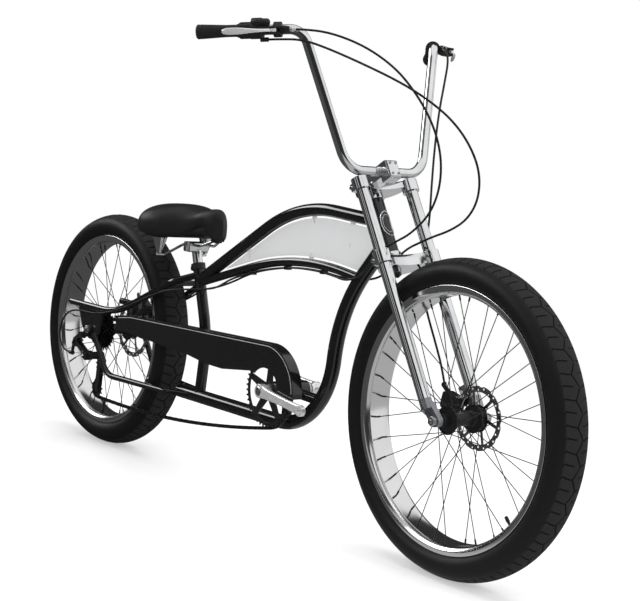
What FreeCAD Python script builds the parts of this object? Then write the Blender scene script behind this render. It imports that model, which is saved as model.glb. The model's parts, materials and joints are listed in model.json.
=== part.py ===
import FreeCAD, Part
import math
import os

Vector = FreeCAD.Vector

# Driving dimensions in mm. x is forward from the rear axle, y is to the left, z is up from the floor.
WHEELBASE = 1404.5
RAKE = 32.5
FORK_OFFSET = 57.0

# Wheels: a 26 inch front rim and a 24 inch rear rim on their standard bead seats.
FRONT_BEAD_RADIUS = 279.5
REAR_BEAD_RADIUS = 253.5
TYRE_HEIGHT = 64.5
TYRE_WIDTH = 92.0
TYRE_WALL = 4.0
RIM_WIDTH = 75.0
RIM_WALL = 3.0
RIM_LIP = 6.5
RIM_DEPTH = 14.0
BEAD_GAP = 0.3
SPOKE_COUNT = 36
SPOKE_CROSSES = 3
SPOKE_DIAMETER = 2.0
NIPPLE_DIAMETER = 4.0
NIPPLE_LENGTH = 12.0
RIM_HOLE_STAGGER = 6.0
FLANGE_RADIUS = 31.0
FLANGE_HOLE_RADIUS = 27.0
FLANGE_THICKNESS = 3.0
HUB_BARREL_RADIUS = 14.5
HUB_BORE_RADIUS = 9.5
BEARING_WIDTH = 8.0
AXLE_RADIUS = 5.0
NUT_RADIUS = 9.0
NUT_LENGTH = 8.0
RUNNING_GAP = 0.05
SEAT_GAP = 0.3
FIT_GAP = 0.02
FRONT_DROPOUT_GAP = 120.0
FRONT_FLANGE_Y = 37.0
FRONT_DISC_Y = 53.0
FRONT_DISC_RADIUS = 70.0
REAR_DROPOUT_GAP = 154.0
REAR_FLANGE_LEFT_Y = 37.0
REAR_FLANGE_RIGHT_Y = 30.0
REAR_DISC_Y = 57.0
REAR_DISC_RADIUS = 80.0
DISC_THICKNESS = 1.8
DISC_BAND = 13.0
DISC_SPIGOT_RADIUS = 21.0
DISC_ARMS = 6

# Frame tubes: outside radii, walls and the corner points of their centre lines in the x z plane.
TUBE_WALL = 1.6
HEAD_TUBE_RADIUS = 19.0
HEAD_TUBE_BOTTOM = 415.0
HEAD_TUBE_TOP = 548.0
HEAD_TUBE_WALL = 3.0
CUP_HEIGHT = 12.0
CUP_RADIUS = 22.0
STEERER_RADIUS = 12.7
DOWN_TUBE_RADIUS = 17.5
DOWN_TUBE_HEAD_POINT = 448.0
DOWN_TUBE_KNEE = (WHEELBASE - 432.5, 518.0)
DOWN_TUBE_KNEE_BEND = 360.0
DOWN_TUBE_BELLY = (WHEELBASE - 446.5, 217.0)
DOWN_TUBE_BELLY_BEND = 190.0
DOWN_TUBE_TAIL = (345.0, 208.0)
TOP_TUBE_RADIUS = 15.0
TOP_TUBE_HEAD_POINT = 496.0
TOP_TUBE_CROWN = (WHEELBASE - 617.5, 745.0)
TOP_TUBE_BEND = 465.0
TANK_TUBE_RADIUS = 10.5
TANK_TUBE_NOSE = (WHEELBASE - 366.5, 596.0)
TANK_TUBE_CROWN = (WHEELBASE - 609.5, 625.0)
TANK_TUBE_BEND = 900.0
SEAT_TUBE_RADIUS = 14.3
SEAT_TUBE_LEAN = 19.5
SEAT_TUBE_TOP = (378.0, 548.0)
SEAT_TUBE_KNEE_Z = 361.0
SEAT_TUBE_BEND = 300.0
SEAT_TUBE_FOOT_X = 432.0
SEAT_POST_RADIUS = 12.7
SEAT_POST_RISE = 46.0
SEAT_POST_DEPTH = 78.0
SEAT_CLAMP_RADIUS = 18.5
SEAT_CLAMP_HEIGHT = 16.0
SEAT_STAY_RADIUS = 9.0
SEAT_STAY_SHOULDER = (345.0, 50.0, 497.0)
SEAT_STAY_SHOULDER_BEND = 40.0
SEAT_STAY_HIP = (114.0, 72.0, 380.0)
SEAT_STAY_HIP_BEND = 285.0
SEAT_STAY_TAIL = (-111.0, 81.0, 380.0)
CHAIN_STAY_RADIUS = 8.0
CHAIN_STAY_START = (20.0, 80.0, 308.0)
CHAIN_STAY_ELBOW = (97.0, 79.0, 207.0)
CHAIN_STAY_ELBOW_BEND = 62.0
CHAIN_STAY_TURN = (345.0, 50.0, 208.0)
CHAIN_STAY_TURN_BEND = 60.0
CHAIN_STAY_JOIN_X = 408.0
DROPOUT_THICKNESS = 6.0
PANEL_THICKNESS = 2.0
PANEL_GAP = 5.0
PANEL_SCREW_RADIUS = 4.5
# Panel screws: share of the tube's length from its front, and distance from its centre line.
TOP_TUBE_SCREWS = ((0.705, 30.7), (0.33, 26.8), (0.135, 68.2))
TANK_TUBE_SCREWS = ((0.295, 24.0),)

# Crank, chain and gears.
BB_X = 805.0
BB_Z = 296.0
BB_SHELL_RADIUS = 22.0
BB_SHELL_WALL = 4.5
BB_SHELL_WIDTH = 100.0
BB_BRACE_RADIUS = 12.7
SPINDLE_RADIUS = 8.5
SPINDLE_SQUARE = 12.6
CRANK_LENGTH = 160.0
CRANK_ANGLE = -6.0
CRANK_INNER_Y = 78.0
CRANK_THICKNESS = 13.0
CRANK_BOSS_RADIUS = 17.0
CRANK_EYE_RADIUS = 13.0
PEDAL_THREAD_RADIUS = 7.144
CHAIN_PITCH = 12.7
CHAIN_LINE_Y = -59.0
CHAIN_ROLLER_RADIUS = 3.85
CHAIN_INNER_WIDTH = 2.4
CHAIN_PLATE = 1.0
CHAIN_PLATE_HEIGHT = 8.4
CHAIN_PIN_RADIUS = 1.8
CHAIN_PLAY = 0.12
TOOTH_GAP = 0.3
CHAIN_SLACK_RADIUS = 3600.0
SPROCKET_THICKNESS = 1.8
RING_TEETH = 44
FREEWHEEL_TEETH = (14, 16, 18, 20, 22, 24, 28)
CHAIN_SPROCKET = 2
SPROCKET_STEP = 5.0
FREEWHEEL_BODY_RADIUS = 19.0
FREEWHEEL_BORE_RADIUS = 12.0
JOCKEY_TEETH = 11
GUARD_Y = 75.5
GUARD_WALL = 1.5
GUARD_FLANGE = 28.0
GUARD_RADIUS = 114.0
GUARD_EYE_RADIUS = 55.0
GUARD_REAR_TOP = (112.0, 373.0)
GUARD_RISE = (190.0, 385.0)
GUARD_BOTTOM = ((124.0, 338.0), (470.0, 327.0), (555.0, 318.0), (628.0, 318.0), (744.0, 334.0))

# Derailleur.
HANGER_POINT = (-27.0, 298.0)
LINK_POINT = (-46.0, 274.0)
LINK_LENGTH = 61.0
LINK_DROP = 26.0
LINK_Y = -91.0
LINK_SPREAD = 7.0
LINK_BARREL_RADIUS = 4.0
LINK_PIN_RADIUS = 2.0
LINK_HEIGHT = 14.0
CAGE_PIVOT = (27.5, 249.0)
CAGE_UPPER = 24.0
CAGE_LOWER = 93.0
CAGE_HALF_WIDTH = 4.6
CAGE_PLATE = 1.5

# Fork, stem and bars. Heights along the steering axis are measured from the axle's foot on that axis.
LEG_RADIUS = 14.0
LEG_Y = 72.0
LEG_LEAD = 46.5
LEG_BOTTOM = 30.0
CROWN_FRONT = 32.0
CROWN_REAR = -24.0
CROWN_CLAMP_RADIUS = 19.0
PINCH_EAR = 10.0
PINCH_REACH = 6.0
PINCH_Y = LEG_Y + 5.0
TOP_CROWN_LOW = 562.0
TOP_CROWN_HIGH = 578.0
TOP_CLAMP_LOW = 550.0
LOWER_CROWN_LOW = 374.0
LOWER_CROWN_HIGH = 400.0
LUG_THICKNESS = 14.0
BAR_RADIUS = 11.1
BAR_WALL = 2.0
BAR_HEIGHT = 592.0
STEM_DROP = 13.98
STEERER_ABOVE_BAR = 12.0
BAR_LEAD = 57.0
BAR_LOW_Y = 109.0
BAR_LOW_BEND = 55.0
BAR_TOP = (WHEELBASE - 411.5, 193.0, 1141.0)
BAR_TOP_BEND = 42.0
GRIP_SPLAY = 40.0
GRIP_DROP = 6.0
BAR_END = 236.0
STEM_WIDTH = 34.0
STEM_HEIGHT = 30.0
STEM_CAP_DEPTH = 32.0
STEM_CAP_DROP = 14.0
GRIP_END = 240.0
GRIP_RADIUS = 13.5
GRIP_FLARE_RADIUS = 16.5
GRIP_START_RIGHT = 142.4
GRIP_START_LEFT = 112.0
SHIFTER_START = 90.0
COLLAR_START = 117.4
SHIFTER_RADIUS = 19.5
COLLAR_RADIUS = 17.5
LEVER_DROOP = 5.0
LEVER_PIVOT_A = 56.0
LEVER_PIVOT_B = 42.0
LEVER_TIP_A = 165.0
LEVER_THICKNESS = 7.4
PERCH_EAR = 4.0
PERCH_OUTLINE = ((42.0, 9.0), (64.0, 9.0), (88.0, 25.0), (88.0, 39.0), (63.0, 49.0), (42.0, 49.0))
LEVER_PIN_RADIUS = 3.0
ADJUSTER_B = 26.0
ADJUSTER_END_A = 26.0
SPOUT_END_A = 78.0
SPOUT_DROP = 21.0
CABLE_STOP_RADIUS = 5.0
CABLE_STOP_LENGTH = 11.0

# Saddle stations: distance forward, half width, underside and crown.
SADDLE_STATIONS = (
    (208.0, 46.0, 630.0, 664.0),
    (228.0, 94.0, 614.0, 682.0),
    (270.0, 118.0, 608.0, 694.0),
    (325.0, 104.0, 611.0, 697.0),
    (375.0, 66.0, 616.0, 699.0),
    (430.0, 38.0, 618.0, 700.0),
    (472.0, 26.0, 622.0, 690.0),
    (488.0, 13.0, 634.0, 672.0),
)
SADDLE_RAIL_RADIUS = 3.5
SADDLE_RAIL_Y = 22.0
SADDLE_RAIL_NOSE = (452.0, 10.0)
SPRING_TOP_RADIUS = 19.5
SPRING_FOOT_RADIUS = 6.0
SPRING_X = 300.0
SPRING_Y = 72.0
SPRING_HEIGHT = 42.0

# Disc calipers, each in polar place about its axle.
REAR_CALIPER_RADIUS = 80.0
FRONT_CALIPER_RADIUS = 86.0
CALIPER_LENGTH = 50.0
CALIPER_WIDTH = 38.0
CALIPER_SLOT = 2.4
CALIPER_ARM = 32.0
REAR_CALIPER_ANGLE = 55.0
FRONT_CALIPER_ANGLE = 167.5
REAR_CALIPER_ARM_LEAN = 60.0
FRONT_CALIPER_ARM_LEAN = 20.0
CALIPER_TAB = 4.7
CALIPER_PIN_RADIUS = 4.0
REAR_CALIPER_LOW = 45.0
REAR_CALIPER_HIGH = 63.6
FRONT_CALIPER_LOW = 41.0
FRONT_CALIPER_HIGH = 66.0
REAR_STOP_ROOT = (62.0, 398.0)
FRONT_STOP_ROOT = (1304.0, 374.0)

# Cables: diameter and the points of each route, x y z from the rear axle.
CABLE_DIAMETER = 5.0
REAR_BRAKE_ROUTE = (
    (1074, -181, 1136), (1147, -140, 1112), (1210, -105, 1072), (1253, -82, 1026),
    (1285, -62, 976), (1306, -48, 925), (1313, -38, 872), (1305, -32, 816), (1277, -29, 764),
    (1226, -30, 720), (1184, -33, 698), (1148, -34, 680), (1115, -34, 655), (1090, -33, 622),
    (1060, -30, 601), (1020, -24, 591), (985, -14, 588), (950, -4, 590), (890, -4, 594),
    (830, -4, 593), (770, -4, 588), (710, -4, 578),
    (650, -4, 565), (590, -4, 547), (535, -3, 529), (482, 8, 508), (440, 24, 496),
    (390, 38, 484), (335, 51, 476), (285, 56, 450), (235, 50, 427), (180, 50, 415),
    (120, 45, 418), (68, 42, 420),
)
SHIFT_ROUTE = (
    (1015, -208, 1117), (1085, -183, 1099), (1171, -150, 1070), (1250, -118, 1040),
    (1312, -88, 1007), (1360, -60, 969), (1392, -35, 921), (1402, -10, 867), (1386, 8, 810),
    (1343, 22, 764), (1284, 30, 734), (1226, 33, 714), (1184, 34, 696), (1148, 35, 680),
    (1115, 35, 655), (1090, 34, 622), (1060, 31, 601), (1020, 24, 591), (985, 14, 588),
    (950, 4, 590), (890, 4, 594), (830, 4, 593), (770, 4, 588),
    (710, 4, 578), (650, 4, 565), (590, 4, 546), (540, 4, 524), (490, -6, 503), (448, -24, 490),
    (400, -46, 484), (340, -66, 474), (280, -70, 452), (220, -76, 426), (165, -83, 401), (105, -88, 381),
    (40, -93, 366), (-30, -96, 366), (-90, -97, 358), (-130, -97, 328), (-142, -97, 288), (-128, -97, 256),
    (-98, -97, 240), (-66, -96, 242),
)
FRONT_BRAKE_ROUTE = (
    (1036, 205, 1112), (1046, 190, 1056), (1062, 167, 990), (1084, 144, 905),
    (1108, 124, 822), (1128, 109, 762), (1138, 99, 716), (1146, 86, 674), (1160, 71, 630),
    (1184, 61, 578), (1212, 61, 526), (1241, 63, 474), (1264, 66, 426), (1276, 68, 388),
)
CLIP_STATIONS = (620.0, 760.0, 900.0)

REAR_TYRE_RADIUS = REAR_BEAD_RADIUS + TYRE_HEIGHT
FRONT_TYRE_RADIUS = FRONT_BEAD_RADIUS + TYRE_HEIGHT
CUT_REACH = 200.0
UP = Vector(0, 0, 1)
LEFT = Vector(0, 1, 0)
AHEAD = Vector(1, 0, 0)


def at(x, y, z):
    """A point in the part's frame, whose origin is where the rear tyre meets the floor."""
    return Vector(x, y, z)


def on_circle(radius, angle, y):
    """A point at a radius and an angle from forward to up, in the plane at a y."""
    return Vector(radius * math.cos(angle), y, radius * math.sin(angle))


def square_hole(half_length):
    """A bar that cuts the spindle's square fit, along y through the origin."""
    side = SPINDLE_SQUARE + 2 * FIT_GAP
    return Part.makeBox(side, 2 * half_length, side, Vector(-side / 2, -half_length, -side / 2))


REAR_AXLE = at(0, 0, REAR_TYRE_RADIUS)
FRONT_AXLE = at(WHEELBASE, 0, FRONT_TYRE_RADIUS)
STEER_UP = Vector(-math.sin(math.radians(RAKE)), 0, math.cos(math.radians(RAKE)))
STEER_AHEAD = Vector(math.cos(math.radians(RAKE)), 0, math.sin(math.radians(RAKE)))
STEER_FOOT = FRONT_AXLE - STEER_AHEAD * FORK_OFFSET
FORK_FRAME = FreeCAD.Placement(STEER_FOOT, FreeCAD.Rotation(LEFT, -RAKE))
BOTTOM_BRACKET = at(BB_X, 0, BB_Z)


def fork_point(lead, y, height):
    """A point by its lead ahead of the steering axis and its height along that axis."""
    return STEER_FOOT + STEER_AHEAD * lead + STEER_UP * height + LEFT * y


def cylinder(radius, start, end):
    """A round bar between two points."""
    run = end - start
    return Part.makeCylinder(radius, run.Length, start, run)


def ring(radius, bore, start, end):
    """A round sleeve between two points."""
    return cylinder(radius, start, end).cut(cylinder(bore, start, end))


def bent_path(points, radii):
    """Straight runs joined by tangent arcs, with one radius for each inner point."""
    edges = []
    start = points[0]
    for before, corner, after, radius in zip(points, points[1:], points[2:], radii):
        into = (corner - before).normalize()
        out = (after - corner).normalize()
        turn = into.getAngle(out)
        trim = radius * math.tan(turn / 2)
        first = corner - into * trim
        last = corner + out * trim
        inward = (out - into).normalize()
        middle = corner + inward * (radius / math.cos(turn / 2) - radius)
        edges.append(Part.LineSegment(start, first).toShape())
        edges.append(Part.Arc(first, middle, last).toShape())
        start = last
    edges.append(Part.LineSegment(start, points[-1]).toShape())
    return Part.Wire(edges)


def pipe(path, radius):
    """A round bar along a path."""
    edge = path.OrderedEdges[0]
    tangent = edge.tangentAt(edge.FirstParameter)
    circle = Part.Wire([Part.makeCircle(radius, edge.valueAt(edge.FirstParameter), tangent)])
    return path.makePipeShell([circle], True, False)


def hollow(path, radius, wall):
    """A round tube along a path."""
    return pipe(path, radius).cut(pipe(path, radius - wall))


def cord_path(points):
    """A cable's path: each arc is as large as its two runs allow. Also returns the radii."""
    radii = []
    bends = [points[0]]
    for corner, after in zip(points[1:], points[2:]):
        into = corner - bends[-1]
        out = after - corner
        turn = into.getAngle(out)
        if turn > 0.01:
            bends.append(corner)
    bends.append(points[-1])
    for before, corner, after in zip(bends, bends[1:], bends[2:]):
        into = corner - before
        out = after - corner
        turn = into.getAngle(out)
        radii.append(0.45 * min(into.Length, out.Length) / math.tan(turn / 2))
    return bent_path(bends, radii), radii


def plate(outline, low_y, high_y):
    """A flat plate across y from the edges or the corner points of its outline."""
    if isinstance(outline[0], Vector):
        outline = [Part.makePolygon(list(outline) + [outline[0]])]
    face = Part.Face(Part.Wire([edge for piece in outline for edge in piece.Edges]))
    solid = face.extrude(LEFT * (high_y - low_y))
    solid.translate(LEFT * low_y)
    return solid


def in_plane(points):
    """Corner points given as x and z, in the part's frame."""
    return [at(x, 0, z) for x, z in points]


def turned(profile):
    """A solid of revolution about the y axis from its radius and y corner points."""
    corners = [Vector(radius, y, 0) for radius, y in profile]
    face = Part.Face(Part.makePolygon(corners + [corners[0]]))
    return face.revolve(Vector(), LEFT, 360)


def largest(shape):
    """The largest solid of a shape."""
    return max(shape.Solids, key=lambda solid: solid.Volume)


def mirrored(shape):
    """The same shape on the other side of the wheel plane."""
    return shape.mirror(Vector(), LEFT)


def moved(shape, place):
    """A copy of a shape, moved from the origin to a place."""
    copy = shape.copy()
    copy.translate(place)
    return copy


def stadium(first, second, first_radius, second_radius, low_y, high_y):
    """A plate that wraps two circles in the x z plane with their outer tangents."""
    run = second - first
    angle = math.atan2(run.z, run.x)
    lean = math.acos((first_radius - second_radius) / run.Length)

    def rim(centre, radius, bearing):
        return Vector(centre.x + radius * math.cos(bearing), 0, centre.z + radius * math.sin(bearing))

    first = Vector(first.x, 0, first.z)
    second = Vector(second.x, 0, second.z)
    a = rim(first, first_radius, angle + lean)
    b = rim(second, second_radius, angle + lean)
    c = rim(second, second_radius, angle - lean)
    d = rim(first, first_radius, angle - lean)
    edges = [
        Part.LineSegment(a, b).toShape(),
        Part.Arc(b, rim(second, second_radius, angle), c).toShape(),
        Part.LineSegment(c, d).toShape(),
        Part.Arc(d, rim(first, first_radius, angle + math.pi), a).toShape(),
    ]
    return plate(edges, low_y, high_y)


# Wheels
def tyre(bead):
    """A hollow tyre: bead feet inside the rim's lips, round shoulders and a crowned tread."""
    foot = RIM_WIDTH / 2 - RIM_WALL - BEAD_GAP
    lip = bead + RIM_LIP

    def contour(inset):
        belly = Vector(bead + 0.47 * TYRE_HEIGHT, TYRE_WIDTH / 2 - inset, 0)
        shoulder = Vector(bead + 0.87 * TYRE_HEIGHT - inset * 0.8, 0.32 * TYRE_WIDTH - inset * 0.6, 0)
        crown = Vector(bead + TYRE_HEIGHT - inset, 0, 0)
        base = Vector(bead, foot - inset, 0)
        neck = Vector(lip, foot - inset, 0)
        return base, neck, belly, shoulder, crown

    def flip(point):
        return Vector(point.x, -point.y, 0)

    base, neck, belly, shoulder, crown = contour(0.0)
    outer = [
        Part.LineSegment(flip(base), flip(neck)),
        Part.Arc(flip(neck), flip(belly), flip(shoulder)),
        Part.Arc(flip(shoulder), crown, shoulder),
        Part.Arc(shoulder, belly, neck),
        Part.LineSegment(neck, base),
    ]
    in_base, in_neck, in_belly, in_shoulder, in_crown = contour(TYRE_WALL)
    inner = [
        Part.LineSegment(base, in_base),
        Part.LineSegment(in_base, in_neck),
        Part.Arc(in_neck, in_belly, in_shoulder),
        Part.Arc(in_shoulder, in_crown, flip(in_shoulder)),
        Part.Arc(flip(in_shoulder), flip(in_belly), flip(in_neck)),
        Part.LineSegment(flip(in_neck), flip(in_base)),
        Part.LineSegment(flip(in_base), flip(base)),
    ]
    face = Part.Face(Part.Wire([curve.toShape() for curve in outer + inner]))
    return face.revolve(Vector(), LEFT, 360)


def rim(bead):
    """A wide single wall rim: bead shelves, a broad well and turned lips."""
    half = RIM_WIDTH / 2
    bed = bead - RIM_DEPTH
    lip = bead + RIM_LIP
    shelf = bead - BEAD_GAP
    side = [
        (bed, half - 12.0), (bed + 4.0, half - 4.0), (bed + 11.0, half), (lip, half), (lip, half - RIM_WALL),
        (shelf, half - RIM_WALL), (shelf, half - RIM_WALL - 7.0), (bed + RIM_WALL, half - RIM_WALL - 13.0),
    ]
    return turned(side + [(radius, -y) for radius, y in reversed(side)])


def spokes(bead, left_flange, right_flange):
    """Crossed spokes with elbows through the flanges and nipples on the rim's bed."""
    seats = RIM_DEPTH - bead
    outer = -seats - 0.7
    per_flange = SPOKE_COUNT // 2
    step = 360.0 / per_flange
    swing = 720.0 * SPOKE_CROSSES / SPOKE_COUNT
    inside = FLANGE_THICKNESS / 2 + SPOKE_DIAMETER / 2 + 0.1
    outside = inside + 1.1
    group = []
    for side, flange in ((1, left_flange), (-1, right_flange)):
        for lead in (1, -1):
            hub_angle = math.radians((step if lead < 0 else 0.0) + (step / 2 if side < 0 else 0.0))
            rim_angle = hub_angle + math.radians(lead * swing)
            lay = outside if lead > 0 else -inside
            hub_y = side * (flange + lay)
            head = on_circle(FLANGE_HOLE_RADIUS, hub_angle, hub_y)
            tip = on_circle(outer, rim_angle, side * RIM_HOLE_STAGGER)
            run = (tip - head).normalize()
            shaft = cylinder(SPOKE_DIAMETER / 2, head, tip)
            nipple = cylinder(NIPPLE_DIAMETER / 2, tip - run * NIPPLE_LENGTH, tip)
            elbow_end = Vector(head.x, side * (flange - (inside if lead > 0 else -outside)), head.z)
            elbow = cylinder(SPOKE_DIAMETER / 2, head, elbow_end)
            spoke = shaft.fuse([nipple, elbow])
            for index in range(per_flange // 2):
                copy = spoke.copy()
                copy.rotate(Vector(), LEFT, -index * 2 * step)
                group.append(copy)
    return Part.makeCompound(group)


def flange_holes(flange, offset):
    """Spoke holes through one flange."""
    count = SPOKE_COUNT // 2
    holes = []
    for index in range(count):
        angle = math.radians(360.0 * index / count + offset)
        centre = on_circle(FLANGE_HOLE_RADIUS, angle, flange)
        holes.append(cylinder(SPOKE_DIAMETER / 2 + 0.15, centre - LEFT * 5, centre + LEFT * 5))
    return holes


def hub(right_end, right_boss, right_flange, left_flange, disc_y):
    """A hub shell with two flanges and a disc seat on its left, and its two bearings."""
    half = FLANGE_THICKNESS / 2
    seat = disc_y - DISC_THICKNESS / 2
    end = disc_y + 4.0
    profile = [
        (HUB_BORE_RADIUS, -right_end), (right_boss, -right_end), (right_boss, -right_flange - half),
        (FLANGE_RADIUS, -right_flange - half), (FLANGE_RADIUS, -right_flange + half),
        (HUB_BARREL_RADIUS + 4.0, -right_flange + half), (HUB_BARREL_RADIUS, -right_flange + 9.0),
        (HUB_BARREL_RADIUS, left_flange - 9.0), (HUB_BARREL_RADIUS + 4.0, left_flange - half),
        (FLANGE_RADIUS, left_flange - half), (FLANGE_RADIUS, left_flange + half),
        (DISC_SPIGOT_RADIUS + 2.5, left_flange + half), (DISC_SPIGOT_RADIUS + 2.5, seat),
        (DISC_SPIGOT_RADIUS, seat), (DISC_SPIGOT_RADIUS, end - 1.5), (DISC_SPIGOT_RADIUS - 4.0, end),
        (HUB_BORE_RADIUS, end),
    ]
    step = 180.0 / SPOKE_COUNT * 2
    shell = turned(profile).cut(flange_holes(left_flange, 0.0) + flange_holes(-right_flange, step))
    bearings = []
    for low in (-right_end, end - BEARING_WIDTH):
        start = Vector(0, low, 0)
        end = start + LEFT * BEARING_WIDTH
        bearings.append(ring(HUB_BORE_RADIUS - FIT_GAP, AXLE_RADIUS + RUNNING_GAP, start, end))
    return Part.makeCompound([shell] + bearings)


def rotor(radius):
    """A brake disc: scalloped, drilled band, leaning arms and a bolted hub ring."""
    face = Vector(0, -DISC_THICKNESS / 2, 0)
    through = LEFT * DISC_THICKNESS
    band = cylinder(radius, face, face + through).cut(cylinder(radius - DISC_BAND, face, face + through))
    core = cylinder(DISC_SPIGOT_RADIUS + 9.0, face, face + through)
    core = core.cut(cylinder(DISC_SPIGOT_RADIUS + FIT_GAP, face, face + through))
    pieces = [core]
    for index in range(DISC_ARMS):
        arm = Part.makeBox(radius - DISC_BAND - DISC_SPIGOT_RADIUS, DISC_THICKNESS, 7.0)
        arm.translate(Vector(DISC_SPIGOT_RADIUS + 4.0, -DISC_THICKNESS / 2, -3.5))
        arm.rotate(Vector(DISC_SPIGOT_RADIUS + 5.0, 0, 0), LEFT, 16)
        arm.rotate(Vector(), LEFT, 360.0 * index / DISC_ARMS)
        pieces.append(arm)
    disc = band.fuse(pieces)
    cuts = []
    scallops = 12
    for index in range(scallops):
        angle = math.radians(360.0 * index / scallops)
        notch = Vector((radius + 9.0) * math.cos(angle), 0, (radius + 9.0) * math.sin(angle))
        cuts.append(cylinder(11.5, notch - LEFT * 5, notch + LEFT * 5))
    drilled = 24
    for index in range(drilled):
        angle = math.radians(360.0 * (index + 0.5) / drilled)
        reach = radius - DISC_BAND * (0.38 if index % 2 else 0.68)
        hole = Vector(reach * math.cos(angle), 0, reach * math.sin(angle))
        cuts.append(cylinder(2.4, hole - LEFT * 5, hole + LEFT * 5))
    return disc.cut(cuts)


def axle(centre, half_gap, hub_left, hub_right, plate_outer):
    """An axle with its nuts outside the ends and spacers between the hub and the ends."""
    length = plate_outer + NUT_LENGTH + 3.0
    pieces = [cylinder(AXLE_RADIUS, centre - LEFT * length, centre + LEFT * length)]
    for side, hub_end in ((1, hub_left), (-1, hub_right)):
        nut_start = centre + LEFT * (side * plate_outer)
        pieces.append(cylinder(NUT_RADIUS, nut_start, nut_start + LEFT * (side * NUT_LENGTH)))
        inner = centre + LEFT * (side * (hub_end + SEAT_GAP))
        pieces.append(cylinder(NUT_RADIUS, inner, centre + LEFT * (side * half_gap)))
    return pieces[0].fuse(pieces[1:])


REAR_HUB_RIGHT = REAR_DROPOUT_GAP / 2 - 4.5
REAR_HUB_LEFT = REAR_DISC_Y + 4.0
FRONT_HUB_RIGHT = FRONT_DISC_Y + 4.0
FRONT_HUB_LEFT = FRONT_HUB_RIGHT

# Frame tubes
SEAT_TUBE_DOWN = Vector(math.sin(math.radians(SEAT_TUBE_LEAN)), 0, -math.cos(math.radians(SEAT_TUBE_LEAN)))
SEAT_TUBE_HEAD = at(SEAT_TUBE_TOP[0], 0, SEAT_TUBE_TOP[1])


def seat_tube_point(depth):
    """A point on the seat tube's straight top, down from its mouth."""
    return SEAT_TUBE_HEAD + SEAT_TUBE_DOWN * depth


def down_tube_path():
    """From the head tube down through the knee and the belly to the tail under the rear wheel."""
    head = fork_point(0, 0, DOWN_TUBE_HEAD_POINT)
    points = [head] + in_plane((DOWN_TUBE_KNEE, DOWN_TUBE_BELLY, DOWN_TUBE_TAIL))
    return bent_path(points, (DOWN_TUBE_KNEE_BEND, DOWN_TUBE_BELLY_BEND))


def top_tube_path():
    """From the head tube over the crown down to the seat tube."""
    crown = at(TOP_TUBE_CROWN[0], 0, TOP_TUBE_CROWN[1])
    return bent_path([fork_point(0, 0, TOP_TUBE_HEAD_POINT), crown, seat_tube_point(44.0)], (TOP_TUBE_BEND,))


def tank_tube_path():
    """From the down tube in a long arch to the foot of the top tube."""
    nose, crown = in_plane((TANK_TUBE_NOSE, TANK_TUBE_CROWN))
    return bent_path([nose, crown, seat_tube_point(50.0)], (TANK_TUBE_BEND,))


def seat_tube_path():
    """Straight from the mouth, then a knee to the foot on the down tube's tail."""
    depth = (SEAT_TUBE_TOP[1] - SEAT_TUBE_KNEE_Z) / math.cos(math.radians(SEAT_TUBE_LEAN))
    foot = at(SEAT_TUBE_FOOT_X, 0, DOWN_TUBE_TAIL[1])
    return bent_path([SEAT_TUBE_HEAD, seat_tube_point(depth), foot], (SEAT_TUBE_BEND,))


def seat_stay_path(side):
    """From the seat tube's side out over the tyre and back to the tail above the axle."""
    def point(place):
        return at(place[0], side * place[1], place[2])

    root = seat_tube_point(30.0) + LEFT * (side * 4.0)
    points = [root, point(SEAT_STAY_SHOULDER), point(SEAT_STAY_HIP), point(SEAT_STAY_TAIL)]
    return bent_path(points, (SEAT_STAY_SHOULDER_BEND, SEAT_STAY_HIP_BEND))


def chain_stay_path(side):
    """From the axle plate down round the elbow and in to the down tube's tail."""
    def point(place):
        return at(place[0], side * place[1], place[2])

    join = at(CHAIN_STAY_JOIN_X, side * 8.0, DOWN_TUBE_TAIL[1])
    points = [point(CHAIN_STAY_START), point(CHAIN_STAY_ELBOW), point(CHAIN_STAY_TURN), join]
    return bent_path(points, (CHAIN_STAY_ELBOW_BEND, CHAIN_STAY_TURN_BEND))


HEAD_BODY = cylinder(HEAD_TUBE_RADIUS, fork_point(0, 0, HEAD_TUBE_BOTTOM), fork_point(0, 0, HEAD_TUBE_TOP))
DOWN_PATH = down_tube_path()
TOP_PATH = top_tube_path()
TANK_PATH = tank_tube_path()
SEAT_PATH = seat_tube_path()
DOWN_BODY = pipe(DOWN_PATH, DOWN_TUBE_RADIUS)
TOP_BODY = pipe(TOP_PATH, TOP_TUBE_RADIUS)
TANK_BODY = pipe(TANK_PATH, TANK_TUBE_RADIUS)
SEAT_BODY = pipe(SEAT_PATH, SEAT_TUBE_RADIUS)
SEAT_STAY_BODY = pipe(seat_stay_path(-1), SEAT_STAY_RADIUS)
CHAIN_STAY_BODY = pipe(chain_stay_path(-1), CHAIN_STAY_RADIUS)
SHELL_BODY = cylinder(BB_SHELL_RADIUS, BOTTOM_BRACKET - LEFT * (BB_SHELL_WIDTH / 2),
                      BOTTOM_BRACKET + LEFT * (BB_SHELL_WIDTH / 2))


def head_tube():
    """The steering bearing tube, with a plain oval badge ring left bare."""
    low = fork_point(0, 0, HEAD_TUBE_BOTTOM)
    high = fork_point(0, 0, HEAD_TUBE_TOP)
    return HEAD_BODY.cut(cylinder(HEAD_TUBE_RADIUS - HEAD_TUBE_WALL, low, high))


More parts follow.
